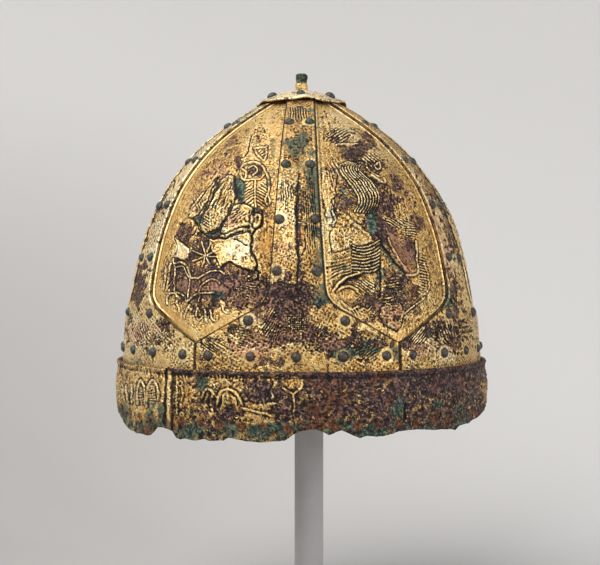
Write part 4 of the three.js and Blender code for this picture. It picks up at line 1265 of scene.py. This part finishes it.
def plate_grid(step):
    """Rows of an infill plate, tucked under the straps beside it."""
    heights = even_heights(CROWN_TOP, PLATE_TIP, step)
    visible = bowl_radius(heights) * HALF_SECTOR - strap_edge(heights)
    return grid(heights, np.maximum(visible + PLATE_TUCK * along_row(heights), PLATE_TIP_HALF), step)


def strap_grid(step):
    """Rows of a strap with its foot."""
    heights = even_heights(CROWN_TOP, FOOT_BOTTOM, step)
    return grid(heights, strap_edge(heights), step)


# The inside's mesh step, and how much coarser the meshes and how far adrift, in pixels, the marks are on
# pieces that the photograph doesn't show

INNER_STEP = 6.0
UNSEEN_PLATE_STEP = 1.95
UNSEEN_STRAP_STEP = 1.4
PLATE_DRIFT = 9
STRAP_DRIFT = 24
PLATE_SEED, PLATE_SEED_STEP = 100, 17
STRAP_SEED, STRAP_SEED_STEP = 300, 13


def add_sheet(name, chart, sides, faces, material, flats, **extra):
    """A piece from a sheet's outer and inner points, with its patina and both sides' flat places."""
    uv = np.concatenate([np.stack(flat, axis=-1) for flat in flats])
    layers = patina_of(chart, len(sides[1]), **extra)
    return add_piece(name, np.concatenate(sides), faces, material, layers, uv)


def at_home(centre, home):
    """Whether a piece sits where the photograph shows its marks."""
    return abs(math.remainder(centre - home, math.tau)) < 0.01


def make_plate(number, sizes, material):
    """An infill plate: a chased field inside a plainer border, with a rib along its edge."""
    look = PLATE_LOOKS[number - 1]
    centre = (number - 0.5) * SECTOR
    home = at_home(centre, look.home)
    counts, arc, z = plate_grid(sizes.plate_step / MM * (1 if home else UNSEEN_PLATE_STEP))
    angle = arc / bowl_radius(z)
    x, y = photo_pixel(bowl_point(look.home + (-angle if look.mirrored else angle), z, 0))
    run = outline_run(z)
    chart = Chart(x, y, arc, run, PLATE_SEED + PLATE_SEED_STEP * number, 0 if home else PLATE_DRIFT)
    chart.gilt += look.gilt
    chart.bright += look.bright
    chart.lay(**look.marks)

    # Marks fade out on the border, which is calmer than the field
    inset = (bowl_radius(z) * HALF_SECTOR - strap_edge(z) - np.abs(arc)) / along_row(z)
    field = smoothstep(BORDER_WIDTH - 0.8, BORDER_WIDTH + 0.4, inset + 0.5 * chart.grain(8, 16, 2))
    border = {"gilt": look.gilt + 0.08, "bright": look.bright + 0.05}
    low = smoothstep(BORDER_CALM_HIGH, BORDER_CALM_LOW, z)
    side = smoothstep(-1, 1, arc)
    kept = look.left_calm + side * (look.right_calm - look.left_calm)
    calm = (1 - field) * np.maximum(kept, 0.8 * look.left_calm * low)
    for layer in Chart.LAYERS:
        values = getattr(chart, layer)
        plain = border.get(layer, 0.0)
        values[:] = plain + (values - plain) * (1 - 0.75 * calm)
    chart.smooth = np.maximum(chart.smooth, calm)
    chart.wear(0.75, 0.35)

    # A line round the field and a rib beside the strap
    chart.height -= look.line * bump_at(inset, BORDER_WIDTH, 0.5)
    chart.height = np.clip(chart.height, -0.8, 1.4) * smoothstep(0.2, 1.6, inset)
    rib = np.where(arc < 0, look.left_rib, look.right_rib) * smoothstep(RIB_FADE_LOW, RIB_FADE_HIGH, z)
    crest = rib * smoothstep(0.0, 0.5, inset) * bump_at(inset, 0.9, 0.6)
    chart.height += crest
    inner_counts, inner_arc, inner_z = plate_grid(INNER_STEP)
    faces = sheet_faces(rows_of(counts), rows_of(inner_counts, len(z)))
    chart.settle_dirt_and_shade(own_faces(faces, len(z)))
    chart.gilt = np.maximum(chart.gilt, 1.2 * crest)
    chart.bright += 0.5 * crest
    chart.dark = chart.dark * (1 - np.clip(crest, 0, 0.8))
    # a dark groove line round the field, and painted shade on the plate along the strap's edge
    chart.dark += 2.0 * look.line * bump_at(inset, BORDER_WIDTH, 0.4) + 0.6 * smoothstep(0.5, 0.0, inset)

    outer = bowl_point(centre + angle, z, chart.height)
    inner = bowl_point(centre + inner_arc / bowl_radius(inner_z), inner_z, -sizes.plate_thickness / MM)
    piece = add_sheet(f"gilt_plate_{number}", chart, (outer, inner), faces, material,
                      ((arc, run), (inner_arc, outline_run(inner_z))))
    settle(piece, "plate_gilt", f"infill_plate_{number}")


def rivet_spots(pairs):
    """Local angle and height of each rivet on a strap."""
    spots = []
    for z, half in pairs:
        spots += [(side * half / float(bowl_radius(z)), z) for side in (-1, 1)]
    return spots + [(k * FOOT_RIVET_STEP, FOOT_RIVET_HEIGHT) for k in range(-2, 3)]


def make_strap(number, sizes, material):
    """A strap with its foot, its edge beads and a rubbed ring round each rivet."""
    look = STRAP_LOOKS[number - 1]
    centre = (number - 1) * SECTOR
    home = at_home(centre, look.home)
    counts, arc, z = strap_grid(sizes.strap_step / MM * (1 if home else UNSEEN_STRAP_STEP))
    angle = arc / bowl_radius(z)
    thickness = sizes.strap_thickness / MM
    x, y = photo_pixel(bowl_point(look.home + angle, z, SEAT_GAP + thickness))
    run = outline_run(z)
    chart = Chart(x, y, arc, run, STRAP_SEED + STRAP_SEED_STEP * number, 0 if home else STRAP_DRIFT)
    chart.gilt += look.gilt
    chart.bright += look.bright
    chart.green += look.green
    chart.lay(**look.marks)
    inset = (strap_edge(z) - np.abs(arc)) / along_row(z)
    chart.wear(0.8, 0.3)

    # Beads along the edges, and a rubbed ring and a seat for every rivet, with a painted shadow ring at each
    # rivet's foot
    width, height = sizes.bead_width / MM, sizes.bead_height / MM * look.bead
    shown = smoothstep(BEAD_FADE_LOW, BEAD_FADE_HIGH, z) * smoothstep(BEAD_END_HIGH, BEAD_END_LOW, z)
    bead = shown * np.sqrt(np.clip(1 - ((inset - width / 2) / (width / 2)) ** 2, 0, 1))
    halo = np.zeros_like(arc)
    seat = np.zeros_like(arc)
    for spot_angle, spot_z in rivet_spots(look.pairs):
        far = np.hypot((angle - spot_angle) * bowl_radius(z), run - outline_run(np.array([spot_z])))
        share = 0.65 + 0.35 * math.sin(5 * spot_z + 40 * spot_angle)
        halo = np.maximum(halo, share * bump_at(far, 3.3, 1.25))
        seat = np.maximum(seat, bump_at(far, 2.35, 0.45))
    chart.height = np.clip(chart.height, -0.6, 0.7) * smoothstep(0, 1.5, inset) * (1 - seat)
    chart.height += height * bead + 0.15 * halo
    inner_counts, inner_arc, inner_z = strap_grid(INNER_STEP)
    faces = sheet_faces(rows_of(counts), rows_of(inner_counts, len(z)))
    chart.settle_dirt_and_shade(own_faces(faces, len(z)))
    chart.gilt = np.maximum(chart.gilt, np.maximum(0.85 * bead * look.bead, 0.9 * halo))
    chart.smooth = np.maximum(chart.smooth, halo)
    chart.bright += 0.3 * halo + 0.35 * bead * look.bead
    chart.dark = chart.dark * (1 - 0.75 * bead)
    # a dark line just inside each bead, and a painted shadow ring at each rivet's foot
    chart.dark += 0.5 * shown * bump_at(inset, width + 0.25, 0.4) + 0.6 * seat
    chart.dark += 0.9 * smoothstep(1.3, 0.3, inset) * (1 - shown * smoothstep(0.2, 0.6, look.bead))
    chart.green += 0.5 * bump_at(inset, 0, 1.6) * (1 - look.bead) * shown
    punch = smoothstep(width + 0.2, width + 1.2, inset) * smoothstep(-0.35, 0.1, chart.grain(16, 8, 2))

    outer = bowl_point(centre + angle, z, SEAT_GAP + thickness + chart.height)
    inner = bowl_point(centre + inner_arc / bowl_radius(inner_z), inner_z, SEAT_GAP)
    piece = add_sheet(f"gilt_strap_{number}", chart, (outer, inner), faces, material,
                      ((arc, run), (inner_arc, outline_run(inner_z))), punch=punch, halo=halo)
    settle(piece, "strap_gilt", f"spange_{number}")


def band_rows(step_around, step_down):
    """Angles round the band and shares from its top to its broken edge."""
    around = int(math.tau * band_radius(BAND_WIDEST) / step_around)
    down = int((BAND_TOP - BAND_LOWEST) / step_down) + 1
    angle = np.linspace(-math.pi / 2, 1.5 * math.pi, around, endpoint=False)
    return np.tile(angle, (down, 1)), np.tile(np.linspace(0, 1, down)[:, None], (1, around))


def broken_edge(angle):
    """Height of the band's lower edge, with small chips in it."""
    degrees = np.degrees(angle)
    chips = 0.8 * swing(degrees, np.zeros_like(degrees), 3.2, 55, 4)
    ends = smoothstep(-90, -86, degrees) * smoothstep(270, 266, degrees)
    return rim_height(degrees) + chips * ends


def band_point(angle, share, offset):
    """Points on the band in millimetres, from its top at 0 to its broken edge at 1, moved outwards."""
    z = BAND_TOP - share * (BAND_TOP - broken_edge(angle))
    radius = band_radius(z) + offset
    return np.stack([radius * np.sin(angle), -PLAN_DEPTH_RATIO * radius * np.cos(angle), z], axis=-1)


def arcade(chart, angle, z, plain):
    """Round arches that go on round the sides and the back of the band."""
    arch = BAND_ARCADE
    step = angle / arch["step"]
    away = (step - np.round(step)) * arch["step"] * BAND_MEAN_RADIUS
    rise = np.hypot(away, np.maximum(z - arch["z"], 0))
    leg = smoothstep(arch["z"] - arch["leg"] - 1, arch["z"] - arch["leg"], z) * plain
    rib = bump_at(rise, arch["radius"], arch["width"]) * leg
    chart.height += 0.55 * rib * np.clip(0.6 + chart.grain(20, 12, 2), 0, 1)
    chart.gilt += 0.5 * rib
    chart.dark += 0.35 * leg * bump_at(rise, arch["radius"] - 1.3, 0.6)


def rust_pits(chart, angle, z):
    """Stains of iron rivets in a row above the broken edge."""
    pits = BAND_RUST_PITS
    step = (angle - pits["first"]) / pits["step"]
    far = np.hypot((step - np.round(step)) * pits["step"] * BAND_MEAN_RADIUS, z - pits["z"])
    far = far + 0.5 * chart.grain(3, 17, 2)
    hole = smoothstep(pits["radius"], pits["radius"] * 0.6, far)
    chart.height -= 0.35 * hole
    chart.rust += 2.2 * smoothstep(pits["radius"] * 1.6, pits["radius"] * 0.6, far)
    chart.green -= 1.8 * hole
    chart.dark += 0.5 * bump_at(far, 1.25 * pits["radius"], 0.4)
    return hole


def make_band(sizes, material):
    """The brow band: chased at the front, corroded below and broken along its lower edge."""
    angle, share = band_rows(sizes.band_step / MM, sizes.band_step / MM)
    rows, columns = angle.shape
    angle, share = angle.ravel(), share.ravel()
    points = band_point(angle, share, 0)
    z = points[:, 2]
    x, y = photo_pixel(points)
    front = np.cos(angle) > 0.1
    run = angle * BAND_MEAN_RADIUS
    chart = Chart(np.where(front, x, OFF_PICTURE), y, run, z, BAND_SEED)
    degrees = np.degrees(angle)
    left = smoothstep(-36, -42, degrees) * smoothstep(-100, -80, degrees)
    right = smoothstep(-8, 12, degrees) * smoothstep(110, 80, degrees)
    chart.gilt += 0.3 + 0.14 * left - 0.6 * right + 0.3 * chart.grain(16, 9, 3)
    chart.bright += -0.3 + 0.25 * left + 0.3 * chart.grain(12, 19, 3)
    chart.rust += 0.2 + 0.3 * smoothstep(134, 124, z) + 0.45 * chart.grain(11, 10, 3)
    chart.green += 0.12 + 0.42 * smoothstep(133, 125, z) + 0.45 * chart.grain(13, 11, 3)
    chart.gilt -= 0.2 * smoothstep(133, 126, z)
    chart.lay(**BROW_BAND)

    # Arches and iron stains, then crust and wear
    arcade(chart, angle, z, 1 - smoothstep(-66, -62, degrees) * smoothstep(76, 70, degrees))
    hole = rust_pits(chart, angle, z)
    crust = 1 - np.abs(chart.grain(4.5, 18, 4)) * 2.2
    calm = 1 - np.clip(chart.smooth, 0, 1)
    worn_share = 0.35 + 0.65 * smoothstep(0.6, 0.2, chart.gilt)
    chart.height += 0.42 * calm * worn_share * (crust - 0.4)
    chart.gilt += 0.2 * calm * (crust - 0.5)
    chart.wear(0.6, 0.6)

    # The raised lip, and a relief that stops short of both edges
    lip = bump_at(z, BAND_LIP, 0.8)
    chart.height += 0.35 * lip * (0.6 + 0.6 * chart.grain(9, 14, 2))
    chart.height = np.clip(chart.height, -0.8, 0.95)
    chart.height *= smoothstep(0, 0.02, share) * (1 - 0.5 * smoothstep(0.97, 1.0, share))
    inner_angle, inner_share = band_rows(INNER_STEP * 0.7, INNER_STEP)
    inner = band_point(inner_angle.ravel(), inner_share.ravel(), -sizes.band_wall / MM)
    faces = ring_faces(rows_of([columns] * rows),
                       rows_of([inner_angle.shape[1]] * inner_angle.shape[0], len(z)))
    chart.settle_dirt_and_shade(own_faces(faces, len(z)))
    chart.dark = chart.dark * (1 - 0.85 * hole)
    chart.gilt -= 0.9 * bump_at(z, BAND_LIP, 1.6) * (1 - left)
    chart.dark += 0.7 * bump_at(z, BAND_GROOVE, 0.5) + 0.5 * smoothstep(0.985, 1.0, share)

    outer = band_point(angle, share, chart.height)
    piece = add_sheet("brow_band_gilt", chart, (outer, inner), faces, material,
                      ((run, -z), (inner_angle.ravel() * BAND_MEAN_RADIUS, -inner[:, 2])))
    settle(piece, "band_gilt", "brow_band")


def disc_grid(out):
    """Angle and radius of the disc's corners, ring by ring from its eye."""
    angle = np.tile(np.linspace(0, math.tau, DISC_AROUND, endpoint=False), (out, 1)).ravel()
    return angle, np.repeat(np.linspace(DISC_EYE, DISC_PROFILE[-1][0], out), DISC_AROUND)


def disc_wave(angle, radius):
    """How far the disc's thin rim is bent up and down."""
    wave = 0.55 * np.sin(6 * angle + 0.4) + 0.4 * np.sin(4 * angle + 2.1) + 0.25 * np.sin(11 * angle)
    return wave * smoothstep(18, DISC_PROFILE[-1][0], radius)


disc_height = curve_through(DISC_PROFILE)


def disc_point(angle, radius, offset):
    """Points on the bent disc in millimetres, moved up from its upper face."""
    x, y = radius * np.sin(angle), -radius * np.cos(angle)
    z = disc_height(radius) + offset + disc_wave(angle, radius)
    return np.stack([x, PLAN_DEPTH_RATIO * y, z], axis=-1)


def make_disc(material):
    """The shallow cone over the straps' tops, rolled and bent at its rim."""
    angle, radius = disc_grid(DISC_ROWS)
    x, y = radius * np.sin(angle), -radius * np.cos(angle)
    chart = Chart(x, y, x, y, DISC_SEED)
    chart.gilt += 0.85 + 0.3 * chart.grain(12, 10, 3)
    chart.bright += 2.1
    chart.pink += 0.25 + 0.5 * chart.grain(12, 9, 2)
    chart.rust += 0.1 + 0.3 * chart.grain(9, 11, 2)
    chart.wear(0.8, 0.3)
    rolled = bump_at(radius, DISC_ROLL, 0.55)
    chart.height += 0.5 * rolled - 0.3 * bump_at(radius, DISC_GROOVE, 0.7)
    faces = ring_faces(rows_of([DISC_AROUND] * DISC_ROWS),
                       rows_of([DISC_AROUND] * DISC_UNDER_ROWS, len(angle)))
    chart.settle_dirt_and_shade(own_faces(faces, len(angle)))
    chart.dark += 0.65 * bump_at(radius, DISC_DIRT, 0.6)
    chart.gilt = np.maximum(chart.gilt, rolled)
    chart.bright += 0.4 * rolled
    top = disc_point(angle, radius, chart.height)
    under = disc_point(*disc_grid(DISC_UNDER_ROWS), -DISC_THICKNESS)
    piece = add_sheet("apex_disc_gilt", chart, (top, under), faces, material, ((x, y), under[:, :2].T))
    settle(piece, "disc_gilt", "apex_disc")


def turned(name, outline, material, segments, wobble=0.0, seed=0, layers=None, shift=0.0):
    """A turned solid from an outline of radius and height that starts and ends near the axis.

    Its surface wobbles by a share of the radius, and its layers are functions of height."""
    outline = np.array(outline, float)
    angle = np.linspace(0, math.tau, segments, endpoint=False)
    radius, z = outline[:, :1] * np.ones(segments), outline[:, 1:] * np.ones(segments)
    around = np.tile(angle, (len(outline), 1))
    if wobble:
        radius = radius * (1 + wobble * swing(3 * np.sin(around), 3 * np.cos(around) + z, 2.2, seed))
    points = np.stack([radius * np.sin(around), -radius * np.cos(around), z], axis=-1).reshape(-1, 3)
    rows = closed(rows_of([segments] * len(outline)))
    faces = []
    for low, high in zip(rows[:-1], rows[1:]):
        faces += zip_rows(low, high)
    ends = len(points)
    points = np.concatenate([points, [[0, 0, outline[0, 1]], [0, 0, outline[-1, 1]]]])
    points[:, 0] += shift
    faces += [(b, a, ends) for a, b in zip(rows[0][:-1], rows[0][1:])]
    faces += [(a, b, ends + 1) for a, b in zip(rows[-1][:-1], rows[-1][1:])]
    if layers:
        layers = {key: value(points[:, 2]) for key, value in layers.items()}
    return add_piece(name, points, faces, material, layers)


def make_finial(gilt):
    """The knob for a plume, gilt at its foot and green with age above."""
    heights = np.linspace(FINIAL_PROFILE[0][0], FINIAL_PROFILE[-1][0], 44)
    outline = np.stack([lines_through(FINIAL_PROFILE)(heights), heights], axis=-1)
    stop = FINIAL_GOLD_STOP
    patina = {
        "gilt": lambda z: smoothstep(stop + 0.6, stop - 0.4, z) * 0.95,
        "bright": lambda z: 0.45 + 0 * z,
        "green": lambda z: 0.75 * smoothstep(stop, stop + 0.8, z),
        "dark": lambda z: 0.6 * bump_at(z, FINIAL_GROOVE, 0.25) + 0.25 * smoothstep(stop, 320, z),
    }
    piece = turned("plume_knob", outline, gilt, segments=48, wobble=0.16, seed=41, layers=patina)
    settle(piece, "dark_bronze", "finial")


def rounded(corners, radius, steps=5):
    """An outline of radius and height whose corners are rounded, for turned stand pieces."""
    points = []
    for before, here, after in zip(corners[:-2], corners[1:-1], corners[2:]):
        before, here, after = (np.array(p, float) for p in (before, here, after))
        reach = min(radius, np.linalg.norm(before - here) / 2, np.linalg.norm(after - here) / 2)
        start = here + (before - here) / np.linalg.norm(before - here) * reach
        end = here + (after - here) / np.linalg.norm(after - here) * reach
        for t in np.linspace(0, 1, steps):
            points.append((1 - t) ** 2 * start + 2 * t * (1 - t) * here + t * t * end)
    return [np.array(corners[0], float)] + points + [np.array(corners[-1], float)]


def drum(radius, low, high, corner):
    """Outline of a plain round solid with rounded edges."""
    inner = STAND_INNER_RADIUS
    return rounded([(inner, low), (radius, low), (radius, high), (inner, high)], corner)


def make_stand(sizes, material):
    """The foot, the post and the rest that bears the crown from inside."""
    base = drum(STAND_BASE_RADIUS, 0, STAND_BASE_THICKNESS, corner=1.6)
    settle(turned("stand_foot", base, material, segments=128), "stand_paint", "stand_base")
    low, high = STAND_BASE_THICKNESS + SEAT_GAP, STAND_CAP_START - SEAT_GAP
    post = turned("stand_upright", drum(STAND_POST_RADIUS, low, high, corner=0.4), material, segments=96,
                  shift=STAND_POST_SHIFT)
    settle(post, "stand_paint", "stand_post")
    under = [bowl_point(0.0, z, -sizes.plate_thickness / MM - SEAT_GAP) for z in STAND_CAP_FLANK]
    flank = [(-p[1] / PLAN_DEPTH_RATIO, p[2]) for p in under]
    low, high = STAND_CAP_START, flank[-1][1] + SEAT_GAP
    cap = rounded([(STAND_INNER_RADIUS, low), (STAND_CAP_RADIUS, low), *flank, (STAND_CAP_TOP_RADIUS, high),
                   (STAND_INNER_RADIUS, high)], radius=0.8)
    settle(turned("stand_crown_rest", cap, material, segments=96), "stand_paint", "stand_cap")


def rivet_points():
    """Seats and outward directions of every rivet on straps and disc, in millimetres, with a size factor."""
    seats, normals, scales = [], [], []
    for strap in range(STRAPS):
        for angle, z in rivet_spots(STRAP_LOOKS[strap].pairs):
            turn = strap * SECTOR + angle
            seats.append(bowl_point(turn, z, SEAT_GAP + STRAP_THICKNESS))
            normals.append(bowl_point(turn, z, 3.0) - bowl_point(turn, z, 0.0))
            scales.append(1.0)
    slope = slope_of(disc_height, DISC_RIVET_RING)
    for k in range(STRAPS):
        out = np.array([math.sin(k * SECTOR), -math.cos(k * SECTOR), 0])
        ring = out * DISC_RIVET_RING * np.array([1, PLAN_DEPTH_RATIO, 1])
        seats.append(ring + [0, 0, float(disc_height(DISC_RIVET_RING))])
        normals.append(-slope * out + [0, 0, 1])
        scales.append(DISC_RIVET_SCALE)
    normals = np.array(normals)
    return np.array(seats), normals / np.linalg.norm(normals, axis=1)[:, None], np.array(scales)


def rivet_tree(material):
    """Geometry nodes: a hammered dome on every seat, turned to its normal, no two quite alike."""
    tree = bpy.data.node_groups.new("Rivet heads", "GeometryNodeTree")
    socket = tree.interface.new_socket
    socket("Geometry", in_out="INPUT", socket_type="NodeSocketGeometry")
    for name in ("Radius", "Height"):
        socket(name, in_out="INPUT", socket_type="NodeSocketFloat")
    socket("Geometry", in_out="OUTPUT", socket_type="NodeSocketGeometry")
    link = tree.links.new

    def node(kind, settings=None, inputs=None):
        made = tree.nodes.new(kind)
        for key, value in (settings or {}).items():
            setattr(made, key, value)
        for key, value in (inputs or {}).items():
            if isinstance(value, bpy.types.NodeSocket):
                link(value, made.inputs[key])
            else:
                made.inputs[key].default_value = value
        return made

    given = node("NodeGroupInput")
    dome = node("GeometryNodeMeshUVSphere", None, {"Segments": 14, "Rings": 8, "Radius": 1.0})
    shape = node("ShaderNodeCombineXYZ", None,
                 {"X": given.outputs["Radius"], "Y": given.outputs["Radius"], "Z": given.outputs["Height"]})
    normal = node("GeometryNodeInputNamedAttribute", {"data_type": "FLOAT_VECTOR"}, {"Name": "seat_normal"})
    turn = node("FunctionNodeAlignRotationToVector", {"axis": "Z"}, {"Vector": normal.outputs[0]})
    spin = node("FunctionNodeRandomValue", {"data_type": "FLOAT"}, {2: 0.0, 3: math.tau, "Seed": 7})
    axis_turn = node("FunctionNodeAxisAngleToRotation", None, {"Axis": (0, 0, 1), "Angle": spin.outputs[1]})
    both = node("FunctionNodeRotateRotation", {"rotation_space": "LOCAL"},
                {"Rotation": turn.outputs[0], "Rotate By": axis_turn.outputs[0]})
    factor = node("GeometryNodeInputNamedAttribute", {"data_type": "FLOAT"}, {"Name": "seat_scale"})
    jitter = node("FunctionNodeRandomValue", {"data_type": "FLOAT"}, {2: 0.9, 3: 1.1, "Seed": 3})
    size = node("ShaderNodeMath", {"operation": "MULTIPLY"}, {0: factor.outputs[0], 1: jitter.outputs[1]})
    scale = node("ShaderNodeVectorMath", {"operation": "SCALE"},
                 {0: shape.outputs[0], "Scale": size.outputs[0]})
    heads = node("GeometryNodeInstanceOnPoints", None,
                 {"Points": given.outputs["Geometry"], "Instance": dome.outputs["Mesh"],
                  "Rotation": both.outputs[0], "Scale": scale.outputs[0]})
    real = node("GeometryNodeRealizeInstances", None, {"Geometry": heads.outputs[0]})
    dents = node("ShaderNodeTexNoise", {"noise_dimensions": "3D"}, {"Scale": 420.0, "Detail": 2.0})
    centred = node("ShaderNodeMath", {"operation": "SUBTRACT"}, {0: dents.outputs[0], 1: 0.5})
    depth = node("ShaderNodeMath", {"operation": "MULTIPLY"}, {0: centred.outputs[0], 1: RIVET_DENT * MM})
    push = node("ShaderNodeVectorMath", {"operation": "SCALE"},
                {0: node("GeometryNodeInputNormal").outputs[0], "Scale": depth.outputs[0]})
    hammered = node("GeometryNodeSetPosition", None, {"Geometry": real.outputs[0], "Offset": push.outputs[0]})
    smooth = node("GeometryNodeSetShadeSmooth", None, {0: hammered.outputs[0]})
    painted = node("GeometryNodeSetMaterial", None, {"Geometry": smooth.outputs[0], "Material": material})
    link(painted.outputs[0], node("NodeGroupOutput").inputs[0])
    return tree


def make_rivets(sizes, material):
    """Every rivet head, joined in one mesh."""
    seats, normals, scales = rivet_points()
    mesh = bpy.data.meshes.new("rivet_seats")
    mesh.from_pydata((seats * MM).tolist(), [], [])
    mesh.attributes.new("seat_normal", "FLOAT_VECTOR", "POINT").data.foreach_set("vector", normals.ravel())
    mesh.attributes.new("seat_scale", "FLOAT", "POINT").data.foreach_set("value", scales)
    seeds = bpy.data.objects.new("rivet_seats", mesh)
    bpy.context.scene.collection.objects.link(seeds)
    tree = rivet_tree(material)
    modifier = seeds.modifiers.new("Rivet heads", "NODES")
    modifier.node_group = tree
    values = {"Radius": sizes.rivet_radius, "Height": sizes.rivet_height}
    for item in tree.interface.items_tree:
        if item.in_out == "INPUT" and item.name in values:
            modifier[item.identifier] = values[item.name]
    depsgraph = bpy.context.evaluated_depsgraph_get()
    real = bpy.data.meshes.new_from_object(seeds.evaluated_get(depsgraph))
    bpy.data.objects.remove(seeds)
    piece = bpy.data.objects.new("rivet_heads", real)
    bpy.context.scene.collection.objects.link(piece)
    settle(piece, "dark_bronze")


class HELM_OT_plates(bpy.types.Operator):
    """Build the six chased infill plates"""
    bl_idname = "helm.plates"
    bl_label = "Infill plates"

    def execute(self, context):
        scene = context.scene
        material = gilded_metal("Chased gilding", scene.helm_finish)
        for number in range(1, STRAPS + 1):
            make_plate(number, scene.helm_sizes, material)
        return {"FINISHED"}


class HELM_OT_straps(bpy.types.Operator):
    """Build the six straps with their feet and edge beads"""
    bl_idname = "helm.straps"
    bl_label = "Straps"

    def execute(self, context):
        scene = context.scene
        material = gilded_metal("Punched gilding", scene.helm_finish, punched=True)
        for number in range(1, STRAPS + 1):
            make_strap(number, scene.helm_sizes, material)
        return {"FINISHED"}


class HELM_OT_band(bpy.types.Operator):
    """Build the brow band with its arcade and broken edge"""
    bl_idname = "helm.band"
    bl_label = "Brow band"

    def execute(self, context):
        scene = context.scene
        make_band(scene.helm_sizes, gilded_metal("Corroded gilding", scene.helm_finish))
        return {"FINISHED"}


class HELM_OT_crown(bpy.types.Operator):
    """Build the apex disc and the plume knob"""
    bl_idname = "helm.crown"
    bl_label = "Apex disc and plume knob"

    def execute(self, context):
        finish = context.scene.helm_finish
        gilt = gilded_metal("Rubbed gilding", finish)
        make_disc(gilt)
        make_finial(gilt)
        return {"FINISHED"}


class HELM_OT_rivets(bpy.types.Operator):
    """Set the rivet heads on straps and disc"""
    bl_idname = "helm.rivets"
    bl_label = "Rivet heads"

    def execute(self, context):
        scene = context.scene
        make_rivets(scene.helm_sizes, dark_bronze("Rivet bronze", scene.helm_finish))
        return {"FINISHED"}


class HELM_OT_stand(bpy.types.Operator):
    """Build the grey post stand"""
    bl_idname = "helm.stand"
    bl_label = "Post stand"

    def execute(self, context):
        scene = context.scene
        make_stand(scene.helm_sizes, stand_paint("Stand paint", scene.helm_finish))
        return {"FINISHED"}


def add_light(name, light, target, power):
    lamp = bpy.data.lights.new(name, "AREA")
    lamp.shape = "DISK"
    lamp.size = light.size
    lamp.energy = power
    lamp.color = light.tint
    lit = bpy.data.objects.new(name, lamp)
    aim(lit, light.place, target)
    bpy.context.scene.collection.objects.link(lit)


def aim(thing, place, target):
    """Place a light or a camera so that it looks at its target."""
    thing.location = place
    thing.rotation_euler = (Vector(target) - Vector(place)).to_track_quat("-Z", "Y").to_euler()


def make_backdrop(material):
    """A round cove: a flat floor that curves up, close behind the helmet and farther off elsewhere."""
    around, up = 96, 28
    turn = np.linspace(0, math.tau, around, endpoint=False)
    behind = smoothstep(0.1, 0.8, np.cos(turn))
    flat = COVE["front_floor"] + behind * (COVE["back_floor"] - COVE["front_floor"])
    rise = COVE["front_rise"] + behind * (COVE["back_rise"] - COVE["front_rise"])
    climb = np.linspace(0, 1, up)[:, None] * rise
    reach = flat + COVE["curve"] * np.sin(climb)
    z = COVE["curve"] * (1 - np.cos(climb))
    points = np.stack([reach * np.sin(turn), reach * np.cos(turn), z], axis=-1).reshape(-1, 3)
    rows = closed(rows_of([around] * up))
    faces = [(a, b, len(points)) for a, b in zip(rows[0][1:], rows[0][:-1])]
    for low, high in zip(rows[:-1], rows[1:]):
        faces += [(low[k + 1], high[k + 1], high[k], low[k]) for k in range(around)]
    return add_piece("backdrop", np.concatenate([points, [[0, 0, 0]]]), faces, material)


class HELM_OT_stage(bpy.types.Operator):
    """Lay the backdrop, hang the lights and set the camera"""
    bl_idname = "helm.stage"
    bl_label = "Backdrop, lights and camera"

    def execute(self, context):
        scene = context.scene
        stage = scene.helm_stage
        make_backdrop(paper("Backdrop paper", scene.helm_finish))

        centre = (0, 0, CAMERA_HEIGHT * MM)
        for name, light in LIGHTS.items():
            add_light(f"{name}_light", light, centre, getattr(stage, f"{name}_power"))
        world = scene.world or bpy.data.worlds.new("Room")
        scene.world = world
        world.use_nodes = True
        background = next(n for n in world.node_tree.nodes if n.type == "BACKGROUND")
        background.inputs["Color"].default_value = SKY_TINT
        background.inputs["Strength"].default_value = stage.sky

        lens = bpy.data.cameras.new("photo_camera")
        lens.sensor_width = stage.sensor_width
        lens.lens = stage.sensor_width * CAMERA_DISTANCE / (PHOTO_WIDTH * MM_PER_PIXEL)
        camera = bpy.data.objects.new("photo_camera", lens)
        away = np.array([math.sin(CAMERA_AZIMUTH), -math.cos(CAMERA_AZIMUTH), 0])
        right = np.array([math.cos(CAMERA_AZIMUTH), math.sin(CAMERA_AZIMUTH), 0])
        target = right * CAMERA_SIDE * MM + np.array([0, 0, CAMERA_HEIGHT * MM])
        aim(camera, tuple(target + away * stage.camera_distance), tuple(target))
        scene.collection.objects.link(camera)
        scene.camera = camera
        scene.view_settings.view_transform = "Standard"
        return {"FINISHED"}


class HELM_PT_sidebar(bpy.types.Panel):
    """Lists the spangenhelm's pieces"""
    bl_idname = "HELM_PT_sidebar"
    bl_label = "Spangenhelm"
    bl_space_type = "VIEW_3D"
    bl_region_type = "UI"
    bl_category = "Spangenhelm"

    def draw(self, context):
        for operator in OPERATORS:
            self.layout.operator(operator.bl_idname)


OPERATORS = (HELM_OT_plates, HELM_OT_straps, HELM_OT_band, HELM_OT_crown, HELM_OT_rivets, HELM_OT_stand,
             HELM_OT_stage)
GROUPS = {"helm_sizes": HelmSizes, "helm_finish": HelmFinish, "helm_stage": HelmStage}


def register():
    for cls in (*GROUPS.values(), *OPERATORS, HELM_PT_sidebar):
        bpy.utils.register_class(cls)
    for name, group in GROUPS.items():
        setattr(bpy.types.Scene, name, PointerProperty(type=group))


def unregister():
    for name in GROUPS:
        delattr(bpy.types.Scene, name)
    for cls in reversed((*GROUPS.values(), *OPERATORS, HELM_PT_sidebar)):
        bpy.utils.unregister_class(cls)


def main():
    register()
    for operator in OPERATORS:
        group, call = operator.bl_idname.split(".")
        getattr(getattr(bpy.ops, group), call)()


if __name__ == "__main__":
    main()
